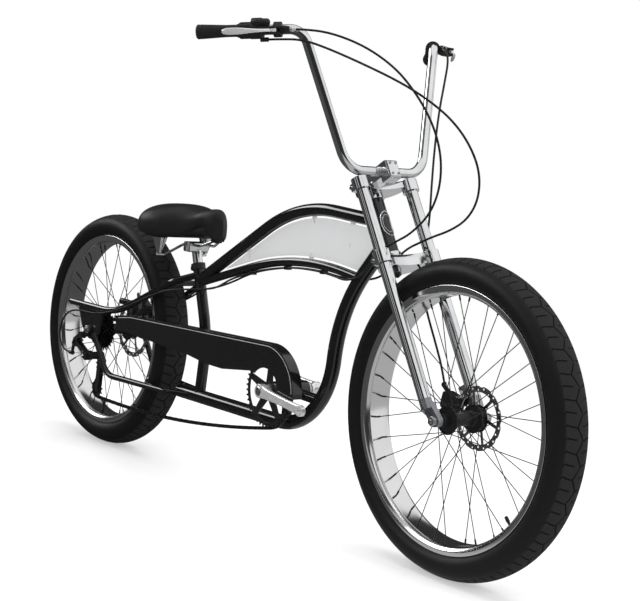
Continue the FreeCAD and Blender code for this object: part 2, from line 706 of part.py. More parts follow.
def bearing_cups():
    """Two headset cups on the head tube and two cups in the bottom bracket shell."""
    cups = []
    for start, way in ((HEAD_TUBE_BOTTOM, -1), (HEAD_TUBE_TOP, 1)):
        face = fork_point(0, 0, start)
        outside = fork_point(0, 0, start + way * (CUP_HEIGHT - SEAT_GAP))
        inside = fork_point(0, 0, start - way * 12.0)
        bore = STEERER_RADIUS + RUNNING_GAP
        cup = cylinder(CUP_RADIUS, face, outside).fuse(
            cylinder(HEAD_TUBE_RADIUS - HEAD_TUBE_WALL, inside, face))
        cups.append(cup.cut(cylinder(bore, inside, outside)))
    for side in (1, -1):
        face = BOTTOM_BRACKET + LEFT * (side * BB_SHELL_WIDTH / 2)
        outside = face + LEFT * (side * 3.0)
        inside = face - LEFT * (side * 14.0)
        cup = cylinder(BB_SHELL_RADIUS - 1.0, face, outside).fuse(
            cylinder(BB_SHELL_RADIUS - BB_SHELL_WALL, inside, face))
        cups.append(cup.cut(cylinder(SPINDLE_RADIUS + RUNNING_GAP, inside, outside)))
    return Part.makeCompound(cups)


def bottom_bracket_shell():
    """The crank bearing shell on a forward brace and a short post to the belly of the down tube."""
    ahead = at(DOWN_TUBE_BELLY[0], 0, BB_Z - 4.0)
    below = at(BB_X, 0, DOWN_TUBE_TAIL[1])
    frame = SHELL_BODY
    for end in (ahead, below):
        frame = frame.fuse(cylinder(BB_BRACE_RADIUS, BOTTOM_BRACKET, end))
    half = LEFT * BB_SHELL_WIDTH
    bore = cylinder(BB_SHELL_RADIUS - BB_SHELL_WALL, BOTTOM_BRACKET - half, BOTTOM_BRACKET + half)
    return largest(frame.cut([bore, DOWN_BODY]))


def dropouts():
    """Axle plates under the seat stays, with the axle holes."""
    inner = REAR_DROPOUT_GAP / 2
    outline = in_plane(((-72, 378), (64, 380), (46, 318), (30, 290), (-4, 292), (-24, 300), (-46, 324)))
    right = plate(outline, -inner - DROPOUT_THICKNESS, -inner)
    hole = cylinder(AXLE_RADIUS + RUNNING_GAP, REAR_AXLE - LEFT * CUT_REACH, REAR_AXLE + LEFT * CUT_REACH)
    right = largest(right.cut([hole, SEAT_STAY_BODY, CHAIN_STAY_BODY]))
    return Part.makeCompound([right, mirrored(right)])


def seat_stays():
    """The two stays and the bridge between their shoulders."""
    tube = hollow(seat_stay_path(-1), SEAT_STAY_RADIUS, TUBE_WALL)
    right = largest(tube.cut(SEAT_BODY))
    x, y, z = SEAT_STAY_SHOULDER
    bridge = cylinder(SEAT_STAY_RADIUS - 1.5, at(x - 9.0, -y, z - 6.0), at(x - 9.0, y, z - 6.0))
    bridge = largest(bridge.cut([SEAT_STAY_BODY, mirrored(SEAT_STAY_BODY)]))
    return Part.makeCompound([right, mirrored(right), bridge])


def chain_stays():
    """The two lower stays."""
    tube = hollow(chain_stay_path(-1), CHAIN_STAY_RADIUS, TUBE_WALL)
    right = largest(tube.cut(DOWN_BODY))
    return Part.makeCompound([right, mirrored(right)])


def down_tube():
    """The big tube from the head to the tail, capped at its tail."""
    tube = hollow(DOWN_PATH, DOWN_TUBE_RADIUS, TUBE_WALL)
    tail = at(DOWN_TUBE_TAIL[0], 0, DOWN_TUBE_TAIL[1])
    cap = cylinder(DOWN_TUBE_RADIUS, tail, tail - AHEAD * 3.0)
    return largest(tube.cut(HEAD_BODY)).fuse(cap)


def top_tube():
    """The upper frame tube."""
    tube = hollow(TOP_PATH, TOP_TUBE_RADIUS, TUBE_WALL)
    return largest(tube.cut([HEAD_BODY, SEAT_BODY]))


def tank_tube():
    """The lower tank tube and its cable clips."""
    tube = hollow(TANK_PATH, TANK_TUBE_RADIUS, TUBE_WALL)
    tube = largest(tube.cut([DOWN_BODY, TOP_BODY, SEAT_BODY]))
    clips = []
    for x in CLIP_STATIONS:
        top = at(x, 0, TANK_TUBE_CROWN[1])
        probe = Part.makeLine(top, top - UP * CUT_REACH).common(TANK_BODY)
        floor = probe.BoundBox.ZMin
        clip = Part.makeBox(10.0, 17.0, 9.0, Vector(top.x - 5.0, -8.5, floor - 8.6))
        clips.append(clip.cut([TANK_BODY] + CABLE_HOLES))
    return Part.makeCompound([tube] + clips)


def seat_tube():
    """The curved seat tube with a straight, reamed mouth for the post."""
    tube = hollow(SEAT_PATH, SEAT_TUBE_RADIUS, TUBE_WALL)
    ream = cylinder(SEAT_POST_RADIUS + RUNNING_GAP, seat_tube_point(-1.0), seat_tube_point(125.0))
    return largest(tube.cut([DOWN_BODY, ream]))


def seat_clamp():
    """A split collar round the seat tube's mouth with its bolt ears behind."""
    low = seat_tube_point(SEAT_CLAMP_HEIGHT)
    high = seat_tube_point(0.0)
    collar = cylinder(SEAT_CLAMP_RADIUS, low, high)
    ears = Part.makeBox(16.0, 12.0, 10.0, Vector(-SEAT_CLAMP_RADIUS - 9.0, -6.0, -12.0))
    ears.Placement = FreeCAD.Placement(high, FreeCAD.Rotation(LEFT, -SEAT_TUBE_LEAN))
    bore = cylinder(SEAT_TUBE_RADIUS + FIT_GAP, low, high)
    slot = Part.makeBox(40.0, 2.0, 40.0, Vector(-40.0, -1.0, -30.0))
    slot.Placement = FreeCAD.Placement(high, FreeCAD.Rotation(LEFT, -SEAT_TUBE_LEAN))
    return collar.fuse(ears).cut([bore, slot])


def beside(path, share, inset, toward):
    """A point off a tube's centre line, at a share of its length, on the side towards a direction."""
    steps = path.discretize(Number=201)
    index = round(share * 200)
    run = (steps[index + 1] - steps[index - 1]).normalize()
    across = (toward - run * toward.dot(run)).normalize()
    return steps[index] + across * inset


def tank_panel():
    """The side panel that fills the space between the tubes, its tabs and its screws."""
    outline = Part.makePolygon([
        fork_point(0, 0, TOP_TUBE_HEAD_POINT), at(TOP_TUBE_CROWN[0], 0, TOP_TUBE_CROWN[1]),
        seat_tube_point(44.0), at(TANK_TUBE_CROWN[0], 0, TANK_TUBE_CROWN[1] - 60.0),
        at(TANK_TUBE_NOSE[0], 0, TANK_TUBE_NOSE[1]), fork_point(0, 0, DOWN_TUBE_HEAD_POINT),
        fork_point(0, 0, TOP_TUBE_HEAD_POINT)])
    sheet = Part.Face(outline).extrude(LEFT * PANEL_THICKNESS)
    head_low, head_high = fork_point(0, 0, HEAD_TUBE_BOTTOM), fork_point(0, 0, HEAD_TUBE_TOP)
    fat = [
        pipe(TOP_PATH, TOP_TUBE_RADIUS + PANEL_GAP), pipe(TANK_PATH, TANK_TUBE_RADIUS + PANEL_GAP),
        pipe(DOWN_PATH, DOWN_TUBE_RADIUS + PANEL_GAP),
        cylinder(HEAD_TUBE_RADIUS + PANEL_GAP, head_low, head_high),
    ]
    pieces = [piece for piece in sheet.cut(fat).Solids]
    middle = at(TANK_TUBE_CROWN[0], PANEL_THICKNESS / 2, TANK_TUBE_CROWN[1] + 40.0)
    panel = min(pieces, key=lambda piece: piece.distToShape(Part.Vertex(middle))[0])
    group = [panel]
    tubes = [TOP_BODY, TANK_BODY, DOWN_BODY, HEAD_BODY]
    screws = [beside(TOP_PATH, share, inset, -UP) for share, inset in TOP_TUBE_SCREWS]
    screws += [beside(TANK_PATH, share, inset, UP) for share, inset in TANK_TUBE_SCREWS]
    for place in screws:
        nearest = min(tubes, key=lambda tube: tube.distToShape(Part.Vertex(place))[0])
        touch = nearest.distToShape(Part.Vertex(place))[1][0][0]
        reach = touch + (touch - place) * 0.2
        tab = stadium(place, reach, 8.0, 7.0, PANEL_THICKNESS, PANEL_THICKNESS + 3.0)
        group.append(largest(tab.cut(tubes)))
        group.append(cylinder(PANEL_SCREW_RADIUS, place - LEFT * 2.5, place))
    return Part.makeCompound(group)


# Chain drive
def pitch_radius(teeth):
    """The radius on which the chain's rollers sit."""
    return CHAIN_PITCH / (2 * math.sin(math.pi / teeth))


def toothed_disc(teeth, phase, thickness):
    """A sprocket blank in the x z plane, with a roller seat at the phase angle."""
    seat = CHAIN_ROLLER_RADIUS + TOOTH_GAP
    radius = pitch_radius(teeth)
    tip = radius + 3.0
    pitch_angle = 2 * math.pi / teeth
    tip_half = 0.9 / tip

    def spot(reach, side, turn):
        return on_circle(reach, turn, 0) + on_circle(side, turn + math.pi / 2, 0)

    edges = []
    for index in range(teeth):
        turn = phase + index * pitch_angle
        low = spot(radius - seat / 2, -seat * math.sqrt(3) / 2, turn)
        root = spot(radius - seat, 0, turn)
        high = spot(radius - seat / 2, seat * math.sqrt(3) / 2, turn)
        tip_in = spot(tip, 0, turn - pitch_angle / 2 + tip_half)
        tip_out = spot(tip, 0, turn + pitch_angle / 2 - tip_half)
        tip_next = spot(tip, 0, turn + pitch_angle / 2 + tip_half)
        edges += [
            Part.LineSegment(tip_in, low).toShape(), Part.Arc(low, root, high).toShape(),
            Part.LineSegment(high, tip_out).toShape(), Part.LineSegment(tip_out, tip_next).toShape(),
        ]
    solid = Part.Face(Part.Wire(edges)).extrude(LEFT * thickness)
    solid.translate(LEFT * (-thickness / 2))
    return solid


class ChainPath:
    """The chain's closed line round the ring, the sprocket and the two jockey wheels."""

    def __init__(self, cage_angle):
        self.sprocket = (REAR_AXLE.x, REAR_AXLE.z, pitch_radius(FREEWHEEL_TEETH[CHAIN_SPROCKET]), 1)
        self.ring = (BOTTOM_BRACKET.x, BOTTOM_BRACKET.z, pitch_radius(RING_TEETH), 1)
        upper, lower = cage_points(cage_angle)
        jockey = pitch_radius(JOCKEY_TEETH)
        self.upper = (upper.x, upper.z, jockey, -1)
        self.lower = (lower.x, lower.z, jockey, 1)
        self.pieces = []
        self.build()

    def tangent(self, first, second):
        """The two ends of the straight run from one wheel to the next."""
        run_x, run_z = second[0] - first[0], second[1] - first[1]
        span = math.hypot(run_x, run_z)
        way = math.atan2(run_z, run_x) - math.asin((first[3] * first[2] - second[3] * second[2]) / span)
        ends = []
        for wheel in (first, second):
            reach = wheel[3] * wheel[2]
            ends.append((wheel[0] - reach * math.sin(way), wheel[1] + reach * math.cos(way)))
        return ends

    def slack(self):
        """The centre of the sagging lower run's arc, and its ends on the ring and the lower jockey."""
        ring_reach = CHAIN_SLACK_RADIUS - self.ring[2]
        low_reach = CHAIN_SLACK_RADIUS - self.lower[2]
        run_x, run_z = self.lower[0] - self.ring[0], self.lower[1] - self.ring[1]
        span = math.hypot(run_x, run_z)
        along = (ring_reach ** 2 - low_reach ** 2 + span ** 2) / (2 * span)
        up = math.sqrt(ring_reach ** 2 - along ** 2)
        centre = (self.ring[0] + (run_x * along + run_z * up) / span,
                  self.ring[1] + (run_z * along - run_x * up) / span)
        ends = []
        for wheel in (self.ring, self.lower):
            away = math.atan2(wheel[1] - centre[1], wheel[0] - centre[0])
            ends.append((wheel[0] + wheel[2] * math.cos(away), wheel[1] + wheel[2] * math.sin(away)))
        return centre, ends

    def add_line(self, start, end):
        """Add a straight run."""
        self.pieces.append(("line", math.dist(start, end), start, end))

    def add_arc(self, centre, radius, start, end, way):
        """Add an arc, clockwise where way is 1 as seen from the bicycle's right."""
        first = math.atan2(start[1] - centre[1], start[0] - centre[0])
        last = math.atan2(end[1] - centre[1], end[0] - centre[0])
        sweep = (first - last) % (2 * math.pi) if way > 0 else (last - first) % (2 * math.pi)
        self.pieces.append(("arc", radius * sweep, centre, radius, first, -way))

    def build(self):
        """Lay the runs and wraps end to end from the sprocket's top."""
        top = self.tangent(self.sprocket, self.ring)
        centre, sag = self.slack()
        rise = self.tangent(self.lower, self.upper)
        enter = self.tangent(self.upper, self.sprocket)
        self.add_line(*top)
        self.add_arc(self.ring[:2], self.ring[2], top[1], sag[0], 1)
        self.add_arc(centre, CHAIN_SLACK_RADIUS, sag[0], sag[1], 1)
        self.add_arc(self.lower[:2], self.lower[2], sag[1], rise[0], 1)
        self.add_line(*rise)
        self.add_arc(self.upper[:2], self.upper[2], rise[1], enter[0], -1)
        self.add_line(*enter)
        self.add_arc(self.sprocket[:2], self.sprocket[2], enter[1], top[0], 1)
        self.length = sum(piece[1] for piece in self.pieces)

    def point(self, distance):
        """The point a distance along the closed line."""
        distance %= self.length
        for piece in self.pieces:
            if distance <= piece[1]:
                break
            distance -= piece[1]
        if piece[0] == "line":
            share = distance / piece[1]
            return tuple(a + (b - a) * share for a, b in zip(piece[2], piece[3]))
        turn = piece[4] + piece[5] * distance / piece[3]
        return piece[2][0] + piece[3] * math.cos(turn), piece[2][1] + piece[3] * math.sin(turn)

    def rollers(self, count):
        """Roller centres one pitch apart, and how far past the start the last pitch ends."""
        spot = 0.0
        places = []
        for _ in range(count):
            here = self.point(spot)
            places.append(here)
            ahead = spot + CHAIN_PITCH
            for _ in range(8):
                ahead += CHAIN_PITCH - math.dist(self.point(ahead), here)
            spot = ahead
        return places, spot - self.length


def cage_points(cage_angle):
    """The upper and lower jockey centres for a cage angle from straight down, forward positive."""
    pivot = at(CAGE_PIVOT[0], CHAIN_LINE_Y, CAGE_PIVOT[1])
    down = Vector(math.sin(cage_angle), 0, -math.cos(cage_angle))
    ahead = Vector(math.cos(cage_angle), 0, math.sin(cage_angle))
    return pivot + down * CAGE_UPPER + ahead * 3.0, pivot + down * CAGE_LOWER


def settle_chain():
    """The cage angle at which a whole, even number of links closes the chain."""
    middle = math.radians(-4.0)
    count = 2 * round(ChainPath(middle).length / CHAIN_PITCH / 2)
    low, high = math.radians(-32.0), math.radians(24.0)
    for _ in range(50):
        angle = (low + high) / 2
        if ChainPath(angle).rollers(count)[1] > 0:
            high = angle
        else:
            low = angle
    return angle, ChainPath(angle).rollers(count)[0]


CAGE_ANGLE, ROLLERS = settle_chain()
UPPER_JOCKEY, LOWER_JOCKEY = cage_points(CAGE_ANGLE)


def roller_phase(centre, radius):
    """The angle of the roller that sits best on a wheel's pitch circle."""
    best = min(ROLLERS, key=lambda roller: abs(math.hypot(roller[0] - centre.x, roller[1] - centre.z) - radius))
    return math.atan2(best[1] - centre.z, best[0] - centre.x)


def chain():
    """Inner and outer links in turn, each with its two plates, on rollers and pins."""
    half_inner = CHAIN_INNER_WIDTH / 2
    end = CHAIN_PLATE_HEIGHT / 2
    start = Vector()
    finish = AHEAD * CHAIN_PITCH
    spread = half_inner + CHAIN_PLATE + CHAIN_PLAY

    def pins(radius, low, high):
        return [cylinder(radius, place + LEFT * low, place + LEFT * high) for place in (start, finish)]

    inner = stadium(start, finish, end, end, half_inner, half_inner + CHAIN_PLATE)
    other = stadium(start, finish, end, end, -half_inner - CHAIN_PLATE, -half_inner)
    inner = inner.fuse([other] + pins(CHAIN_ROLLER_RADIUS, -half_inner, half_inner))
    inner = inner.cut(pins(CHAIN_PIN_RADIUS + CHAIN_PLAY, -spread, spread))
    outer = stadium(start, finish, end, end, spread, spread + CHAIN_PLATE)
    other = stadium(start, finish, end, end, -spread - CHAIN_PLATE, -spread)
    outer = outer.fuse([other] + pins(CHAIN_PIN_RADIUS, -spread, spread))
    links = []
    for index, here in enumerate(ROLLERS):
        there = ROLLERS[(index + 1) % len(ROLLERS)]
        turn = math.degrees(math.atan2(there[1] - here[1], there[0] - here[0]))
        link = (inner if index % 2 else outer).copy()
        link.Placement = FreeCAD.Placement(Vector(here[0], CHAIN_LINE_Y, here[1]), FreeCAD.Rotation(LEFT, -turn))
        links.append(link)
    return Part.makeCompound(links)


def chainring():
    """The toothed ring, its five arm spider and its square boss."""
    phase = roller_phase(BOTTOM_BRACKET, pitch_radius(RING_TEETH))
    blank = toothed_disc(RING_TEETH, phase, SPROCKET_THICKNESS)
    root = pitch_radius(RING_TEETH) - CHAIN_ROLLER_RADIUS
    side = LEFT * SPROCKET_THICKNESS
    ring_band = blank.cut(cylinder(root - 9.0, -side, side))
    spider = [cylinder(CRANK_BOSS_RADIUS + 5.0, LEFT * -4.0, LEFT * 4.0)]
    for index in range(5):
        bearing = math.radians(90.0 + 72.0 * index)
        tip = Vector((root - 12.0) * math.cos(bearing), 0, (root - 12.0) * math.sin(bearing))
        spider.append(stadium(Vector(), tip, 13.0, 7.0, -2.2, 2.2))
    solid = ring_band.fuse(spider)
    bolts = []
    for index in range(5):
        bearing = math.radians(90.0 + 72.0 * index)
        place = Vector((root - 11.0) * math.cos(bearing), 0, (root - 11.0) * math.sin(bearing))
        bolts.append(cylinder(4.5, place - LEFT * 4.0, place - LEFT * 0.5))
    solid = solid.fuse(bolts)
    square = square_hole(20.0)
    square.rotate(Vector(), LEFT, -CRANK_ANGLE)
    solid = solid.cut(square)
    return moved(solid, Vector(BOTTOM_BRACKET.x, CHAIN_LINE_Y, BOTTOM_BRACKET.z))


def crank_spindle():
    """The crank spindle with squared ends, and its two cap bolts."""
    reach = CRANK_INNER_Y + CRANK_THICKNESS - 5.0
    round_half = BB_SHELL_WIDTH / 2 + 4.0
    bar = cylinder(SPINDLE_RADIUS, BOTTOM_BRACKET - LEFT * round_half, BOTTOM_BRACKET + LEFT * round_half)
    half = SPINDLE_SQUARE / 2
    ends = []
    for start in (-reach, round_half - 0.5):
        square = Part.makeBox(SPINDLE_SQUARE, reach - round_half + 0.5, SPINDLE_SQUARE, Vector(-half, start, -half))
        square.rotate(Vector(), LEFT, -CRANK_ANGLE)
        ends.append(moved(square, BOTTOM_BRACKET))
    spindle = bar.fuse(ends)
    caps = []
    for side in (1, -1):
        seat = BOTTOM_BRACKET + LEFT * (side * reach)
        caps.append(cylinder(10.0, seat, seat + LEFT * (side * 4.0)))
    return Part.makeCompound([spindle] + caps)


def crank_arm(side):
    """One crank arm: boss on the spindle, tapered blade and threaded pedal eye."""
    angle = math.radians(CRANK_ANGLE) + (math.pi if side > 0 else 0.0)
    eye = BOTTOM_BRACKET + Vector(math.cos(angle), 0, math.sin(angle)) * CRANK_LENGTH
    inner = side * CRANK_INNER_Y
    outer = side * (CRANK_INNER_Y + CRANK_THICKNESS)
    low, high = min(inner, outer), max(inner, outer)
    blade = stadium(BOTTOM_BRACKET, eye, CRANK_BOSS_RADIUS - 2.0, CRANK_EYE_RADIUS - 1.5, low, high)
    hip = abs(CHAIN_LINE_Y) + 4.0 + 0.02
    boss = cylinder(CRANK_BOSS_RADIUS, BOTTOM_BRACKET + LEFT * (side * hip), BOTTOM_BRACKET + LEFT * outer)
    eye_boss = cylinder(CRANK_EYE_RADIUS, eye + LEFT * low, eye + LEFT * high)
    solid = blade.fuse([boss, eye_boss])
    reach = CRANK_INNER_Y + CRANK_THICKNESS - 5.0
    socket = cylinder(10.02, BOTTOM_BRACKET + LEFT * (side * reach), BOTTOM_BRACKET + LEFT * (side * CUT_REACH))
    square = square_hole(CUT_REACH)
    square.rotate(Vector(), LEFT, -CRANK_ANGLE)
    thread = cylinder(PEDAL_THREAD_RADIUS, eye + LEFT * (low - 1.0), eye + LEFT * (high + 1.0))
    return solid.cut([moved(square, BOTTOM_BRACKET), socket, thread])


def freewheel():
    """Seven sprockets on the freewheel body."""
    first = CHAIN_LINE_Y - CHAIN_SPROCKET * SPROCKET_STEP
    last = first + (len(FREEWHEEL_TEETH) - 1) * SPROCKET_STEP
    body = cylinder(FREEWHEEL_BODY_RADIUS, Vector(0, first - 1.5, 0), Vector(0, last + 1.5, 0))
    discs = []
    for index, teeth in enumerate(FREEWHEEL_TEETH):
        phase = 0.3 * index
        if index == CHAIN_SPROCKET:
            phase = roller_phase(REAR_AXLE, pitch_radius(teeth))
        disc = toothed_disc(teeth, phase, SPROCKET_THICKNESS)
        discs.append(moved(disc, Vector(0, first + index * SPROCKET_STEP, 0)))
    solid = body.fuse(discs)
    bore = FREEWHEEL_BORE_RADIUS + RUNNING_GAP
    solid = solid.cut(cylinder(bore, LEFT * -CUT_REACH, LEFT * CUT_REACH))
    return moved(solid, Vector(REAR_AXLE.x, 0, REAR_AXLE.z))


def jockey_wheel(centre):
    """A small toothed guide wheel with a wide hub on its pin."""
    phase = roller_phase(centre, pitch_radius(JOCKEY_TEETH))
    wheel = toothed_disc(JOCKEY_TEETH, phase, SPROCKET_THICKNESS)
    half = LEFT * (CAGE_HALF_WIDTH - 0.2)
    wheel = wheel.fuse(cylinder(7.5, -half, half)).cut(cylinder(2.5 + RUNNING_GAP, -half, half))
    return moved(wheel, centre)


def chain_guard():
    """A pressed guard: side wall, top flange that turns down round the ring, bead and brackets."""
    slope = math.atan2(BB_Z + GUARD_RADIUS - GUARD_RISE[1], BB_X - GUARD_RISE[0])

    def round_ring(radius, degrees):
        bearing = math.radians(degrees)
        return at(BB_X + radius * math.cos(bearing), 0, BB_Z + radius * math.sin(bearing))

    crest = 90.0 + math.degrees(slope)
    top = in_plane((GUARD_REAR_TOP, GUARD_RISE))
    bottom = in_plane(GUARD_BOTTOM)
    crest_point = round_ring(GUARD_RADIUS, crest)
    front = round_ring(GUARD_RADIUS, 0)
    eye_front = round_ring(GUARD_EYE_RADIUS, 0)
    eye_rear = round_ring(GUARD_EYE_RADIUS, 140)
    outline = [Part.makePolygon(top + [crest_point])]
    outline.append(Part.Arc(crest_point, round_ring(GUARD_RADIUS, crest / 2), front).toShape())
    outline.append(Part.LineSegment(front, eye_front).toShape())
    outline.append(Part.Arc(eye_front, round_ring(GUARD_EYE_RADIUS, 70), eye_rear).toShape())
    outline.append(Part.makePolygon([eye_rear] + bottom[::-1] + [top[0]]))
    wall = plate(outline, -GUARD_Y, -GUARD_Y + GUARD_WALL)
    drop = UP * -GUARD_WALL
    inner_crest = round_ring(GUARD_RADIUS - GUARD_WALL, crest)
    inner_front = round_ring(GUARD_RADIUS - GUARD_WALL, 0)
    band = [Part.makePolygon(top + [crest_point])]
    band.append(Part.Arc(crest_point, round_ring(GUARD_RADIUS, crest / 2), front).toShape())
    band.append(Part.LineSegment(front, inner_front).toShape())
    band.append(Part.Arc(inner_front, round_ring(GUARD_RADIUS - GUARD_WALL, crest / 2), inner_crest).toShape())
    band.append(Part.makePolygon([inner_crest, top[1] + drop, top[0] + drop, top[0]]))
    flange = plate(band, -GUARD_Y, -GUARD_Y + GUARD_FLANGE)
    stud_x = 166.0
    stud_y = -67.0
    stud_low = GUARD_REAR_TOP[1] + 2.0
    stud = cylinder(4.5, at(stud_x, stud_y, stud_low), at(stud_x, stud_y, SEAT_STAY_HIP[2] + 30.0))
    stud = largest(stud.cut(SEAT_STAY_BODY).common(
        Part.makeBox(40, 40, CUT_REACH, at(stud_x - 20, stud_y - 20, stud_low))))
    strut_z = 345.0
    strut_x = SEAT_TUBE_FOOT_X + 5.0
    strut = cylinder(5.0, at(strut_x, -4.0, strut_z), at(strut_x, -GUARD_Y + 1.0, strut_z))
    strut = largest(strut.cut(SEAT_BODY))
    return wall.fuse([flange, stud, strut])


# Derailleur
LINK_FALL = math.atan2(LINK_DROP, math.sqrt(LINK_LENGTH ** 2 - LINK_DROP ** 2))
LINK_FRAME = FreeCAD.Placement(
    at(LINK_POINT[0], LINK_Y, LINK_POINT[1]), FreeCAD.Rotation(LEFT, math.degrees(LINK_FALL)))
HALF_LINK = LINK_HEIGHT / 2


def knuckle_fork(centre, way):
    """Ears and pins for both links, in the links' own frame, with the web away from the links."""
    ears = []
    for side in (1, -1):
        low = side * (HALF_LINK + SEAT_GAP)
        ear = Part.makeBox(15.0, 2 * LINK_SPREAD + 10.0, 3.0)
        ear.translate(Vector(centre - 7.5 - way * 1.5, -LINK_SPREAD - 5.0, min(low, low + side * 3.0)))
        ears.append(ear)
    web = Part.makeBox(4.0, 2 * LINK_SPREAD + 10.0, LINK_HEIGHT + 2 * SEAT_GAP + 6.0)
    web.translate(Vector(centre - way * 9.0 - 2.0, -LINK_SPREAD - 5.0, -HALF_LINK - SEAT_GAP - 3.0))
    pins = []
    for y in (LINK_SPREAD, -LINK_SPREAD):
        foot = Vector(centre, y, -HALF_LINK - SEAT_GAP - 1.0)
        pins.append(cylinder(LINK_PIN_RADIUS, foot, foot + UP * (LINK_HEIGHT + 2 * SEAT_GAP + 2.0)))
    fork = ears[0].fuse(ears[1:] + [web] + pins)
    fork.Placement = LINK_FRAME
    return fork


def derailleur_link(y):
    """One side of the parallelogram: a flat bar with a barrel at each end."""
    bar = Part.makeBox(LINK_LENGTH, 3.0, LINK_HEIGHT - 3.0, Vector(0, y - 1.5, -HALF_LINK + 1.5))
    barrels = []
    bores = []
    for x in (0.0, LINK_LENGTH):
        foot = Vector(x, y, -HALF_LINK)
        barrels.append(cylinder(LINK_BARREL_RADIUS, foot, foot + UP * LINK_HEIGHT))
        bores.append(cylinder(LINK_PIN_RADIUS + RUNNING_GAP, foot - UP, foot + UP * (LINK_HEIGHT + 2.0)))
    link = bar.fuse(barrels).cut(bores)
    link.Placement = LINK_FRAME
    return link


def derailleur_knuckle():
    """The hanger plate under the axle nut, its boss and the fixed ends of the links."""
    plate_outer = -REAR_DROPOUT_GAP / 2 - DROPOUT_THICKNESS
    hook = at(HANGER_POINT[0], 0, HANGER_POINT[1])
    hanger = stadium(REAR_AXLE, hook, 11.5, 10.0, plate_outer - 3.5, plate_outer)
    hanger = hanger.cut(cylinder(AXLE_RADIUS + RUNNING_GAP, REAR_AXLE - LEFT * CUT_REACH, REAR_AXLE))
    boss = cylinder(9.0, hook + LEFT * (plate_outer - 16.0), hook + LEFT * plate_outer)
    web = LINK_FRAME.multVec(Vector(-11.0, 0, 7.0))
    neck = stadium(hook, web, 7.0, 4.5, plate_outer - 15.0, plate_outer - 4.0)
    return hanger.fuse([boss, neck, knuckle_fork(0.0, 1)])


def derailleur_body():
    """The moving knuckle: the far ends of the links and the cage's pivot barrel."""
    outer = at(CAGE_PIVOT[0], LINK_Y - 4.0, CAGE_PIVOT[1])
    inner = at(CAGE_PIVOT[0], CHAIN_LINE_Y - CAGE_HALF_WIDTH - CAGE_PLATE - SEAT_GAP, CAGE_PIVOT[1])
    barrel = cylinder(10.5, outer, inner).cut(cylinder(5.0 + RUNNING_GAP, outer + LEFT * 6.0, inner))
    return barrel.fuse(knuckle_fork(LINK_LENGTH, -1)).cut(cylinder(5.0 + RUNNING_GAP, outer + LEFT * 6.0, inner))


def derailleur_cage():
    """Two cage plates on the pivot spindle, with the jockey pins between them."""
    pivot = at(CAGE_PIVOT[0], 0, CAGE_PIVOT[1])
    plates = []
    for side in (1, -1):
        near = CHAIN_LINE_Y + side * CAGE_HALF_WIDTH
        far = near + side * CAGE_PLATE
        low, high = min(near, far), max(near, far)
        plates.append(stadium(UPPER_JOCKEY, LOWER_JOCKEY, 9.0, 9.0, low, high))
        plates.append(stadium(pivot, UPPER_JOCKEY, 10.0, 9.0, low, high))
    outer = CHAIN_LINE_Y - CAGE_HALF_WIDTH - CAGE_PLATE
    spindle = cylinder(5.0, Vector(pivot.x, LINK_Y + 3.0, pivot.z), Vector(pivot.x, outer, pivot.z))
    pins = []
    for jockey in (UPPER_JOCKEY, LOWER_JOCKEY):
        reach = LEFT * (CAGE_HALF_WIDTH + CAGE_PLATE)
        pins.append(cylinder(2.5, jockey - reach, jockey + reach))
    return plates[0].fuse(plates[1:] + [spindle] + pins)


# Fork, stem and bars
def in_fork(shape):
    """Set a shape built on the steering axis into the leaning fork."""
    shape.Placement = FORK_FRAME.multiply(shape.Placement)
    return shape


def crown(low, high, clamp_low, clamp_high):
    """A fork crown: bowed plate, two leg clamps with pinch slots, and the steerer hole."""
    ends = LEG_Y - 4.0

    def spot(lead, y):
        return Vector(lead, y, low)

    front_end = LEG_LEAD + 13.0
    rear_end = LEG_LEAD - 13.0
    edges = [
        Part.Arc(spot(front_end, -ends), spot(CROWN_FRONT, 0), spot(front_end, ends)).toShape(),
        Part.LineSegment(spot(front_end, ends), spot(rear_end, ends)).toShape(),
        Part.Arc(spot(rear_end, ends), spot(CROWN_REAR, 0), spot(rear_end, -ends)).toShape(),
        Part.LineSegment(spot(rear_end, -ends), spot(front_end, -ends)).toShape(),
    ]
    solid = Part.Face(Part.Wire(edges)).extrude(UP * (high - low))
    cuts = []
    for side in (1, -1):
        foot = Vector(LEG_LEAD, side * LEG_Y, clamp_low)
        top = Vector(LEG_LEAD, side * LEG_Y, clamp_high)
        solid = solid.fuse(cylinder(CROWN_CLAMP_RADIUS, foot, top))
        ears = Part.makeBox(PINCH_EAR + 4.0, PINCH_EAR + 2.0, clamp_high - clamp_low - 10.0)
        ears = ears.makeFillet(2.5, [edge for edge in ears.Edges if edge.BoundBox.XMax < 1.0])
        rear = LEG_LEAD - CROWN_CLAMP_RADIUS - PINCH_REACH
        ears.translate(Vector(rear, side * PINCH_Y - PINCH_EAR / 2 - 1.0, clamp_low + 5.0))
        solid = solid.fuse(ears)
        cuts.append(cylinder(LEG_RADIUS + FIT_GAP, foot - UP, top + UP))
        slot = Part.makeBox(40.0, 2.0, clamp_high - clamp_low + 2.0)
        slot.translate(Vector(LEG_LEAD - 40.0 - LEG_RADIUS / 2, side * PINCH_Y - 1.0, clamp_low - 1.0))
        cuts.append(slot)
    return solid, cuts


def top_crown():
    """The upper crown over the head tube."""
    solid, cuts = crown(TOP_CROWN_LOW, TOP_CROWN_HIGH, TOP_CLAMP_LOW, TOP_CROWN_HIGH)
    low = Vector(0, 0, HEAD_TUBE_TOP + CUP_HEIGHT)
    solid = solid.fuse(cylinder(CUP_RADIUS, low, Vector(0, 0, TOP_CROWN_HIGH)))
    cuts.append(cylinder(STEERER_RADIUS + FIT_GAP, low - UP, Vector(0, 0, TOP_CROWN_HIGH + 1.0)))
    return in_fork(solid.cut(cuts))


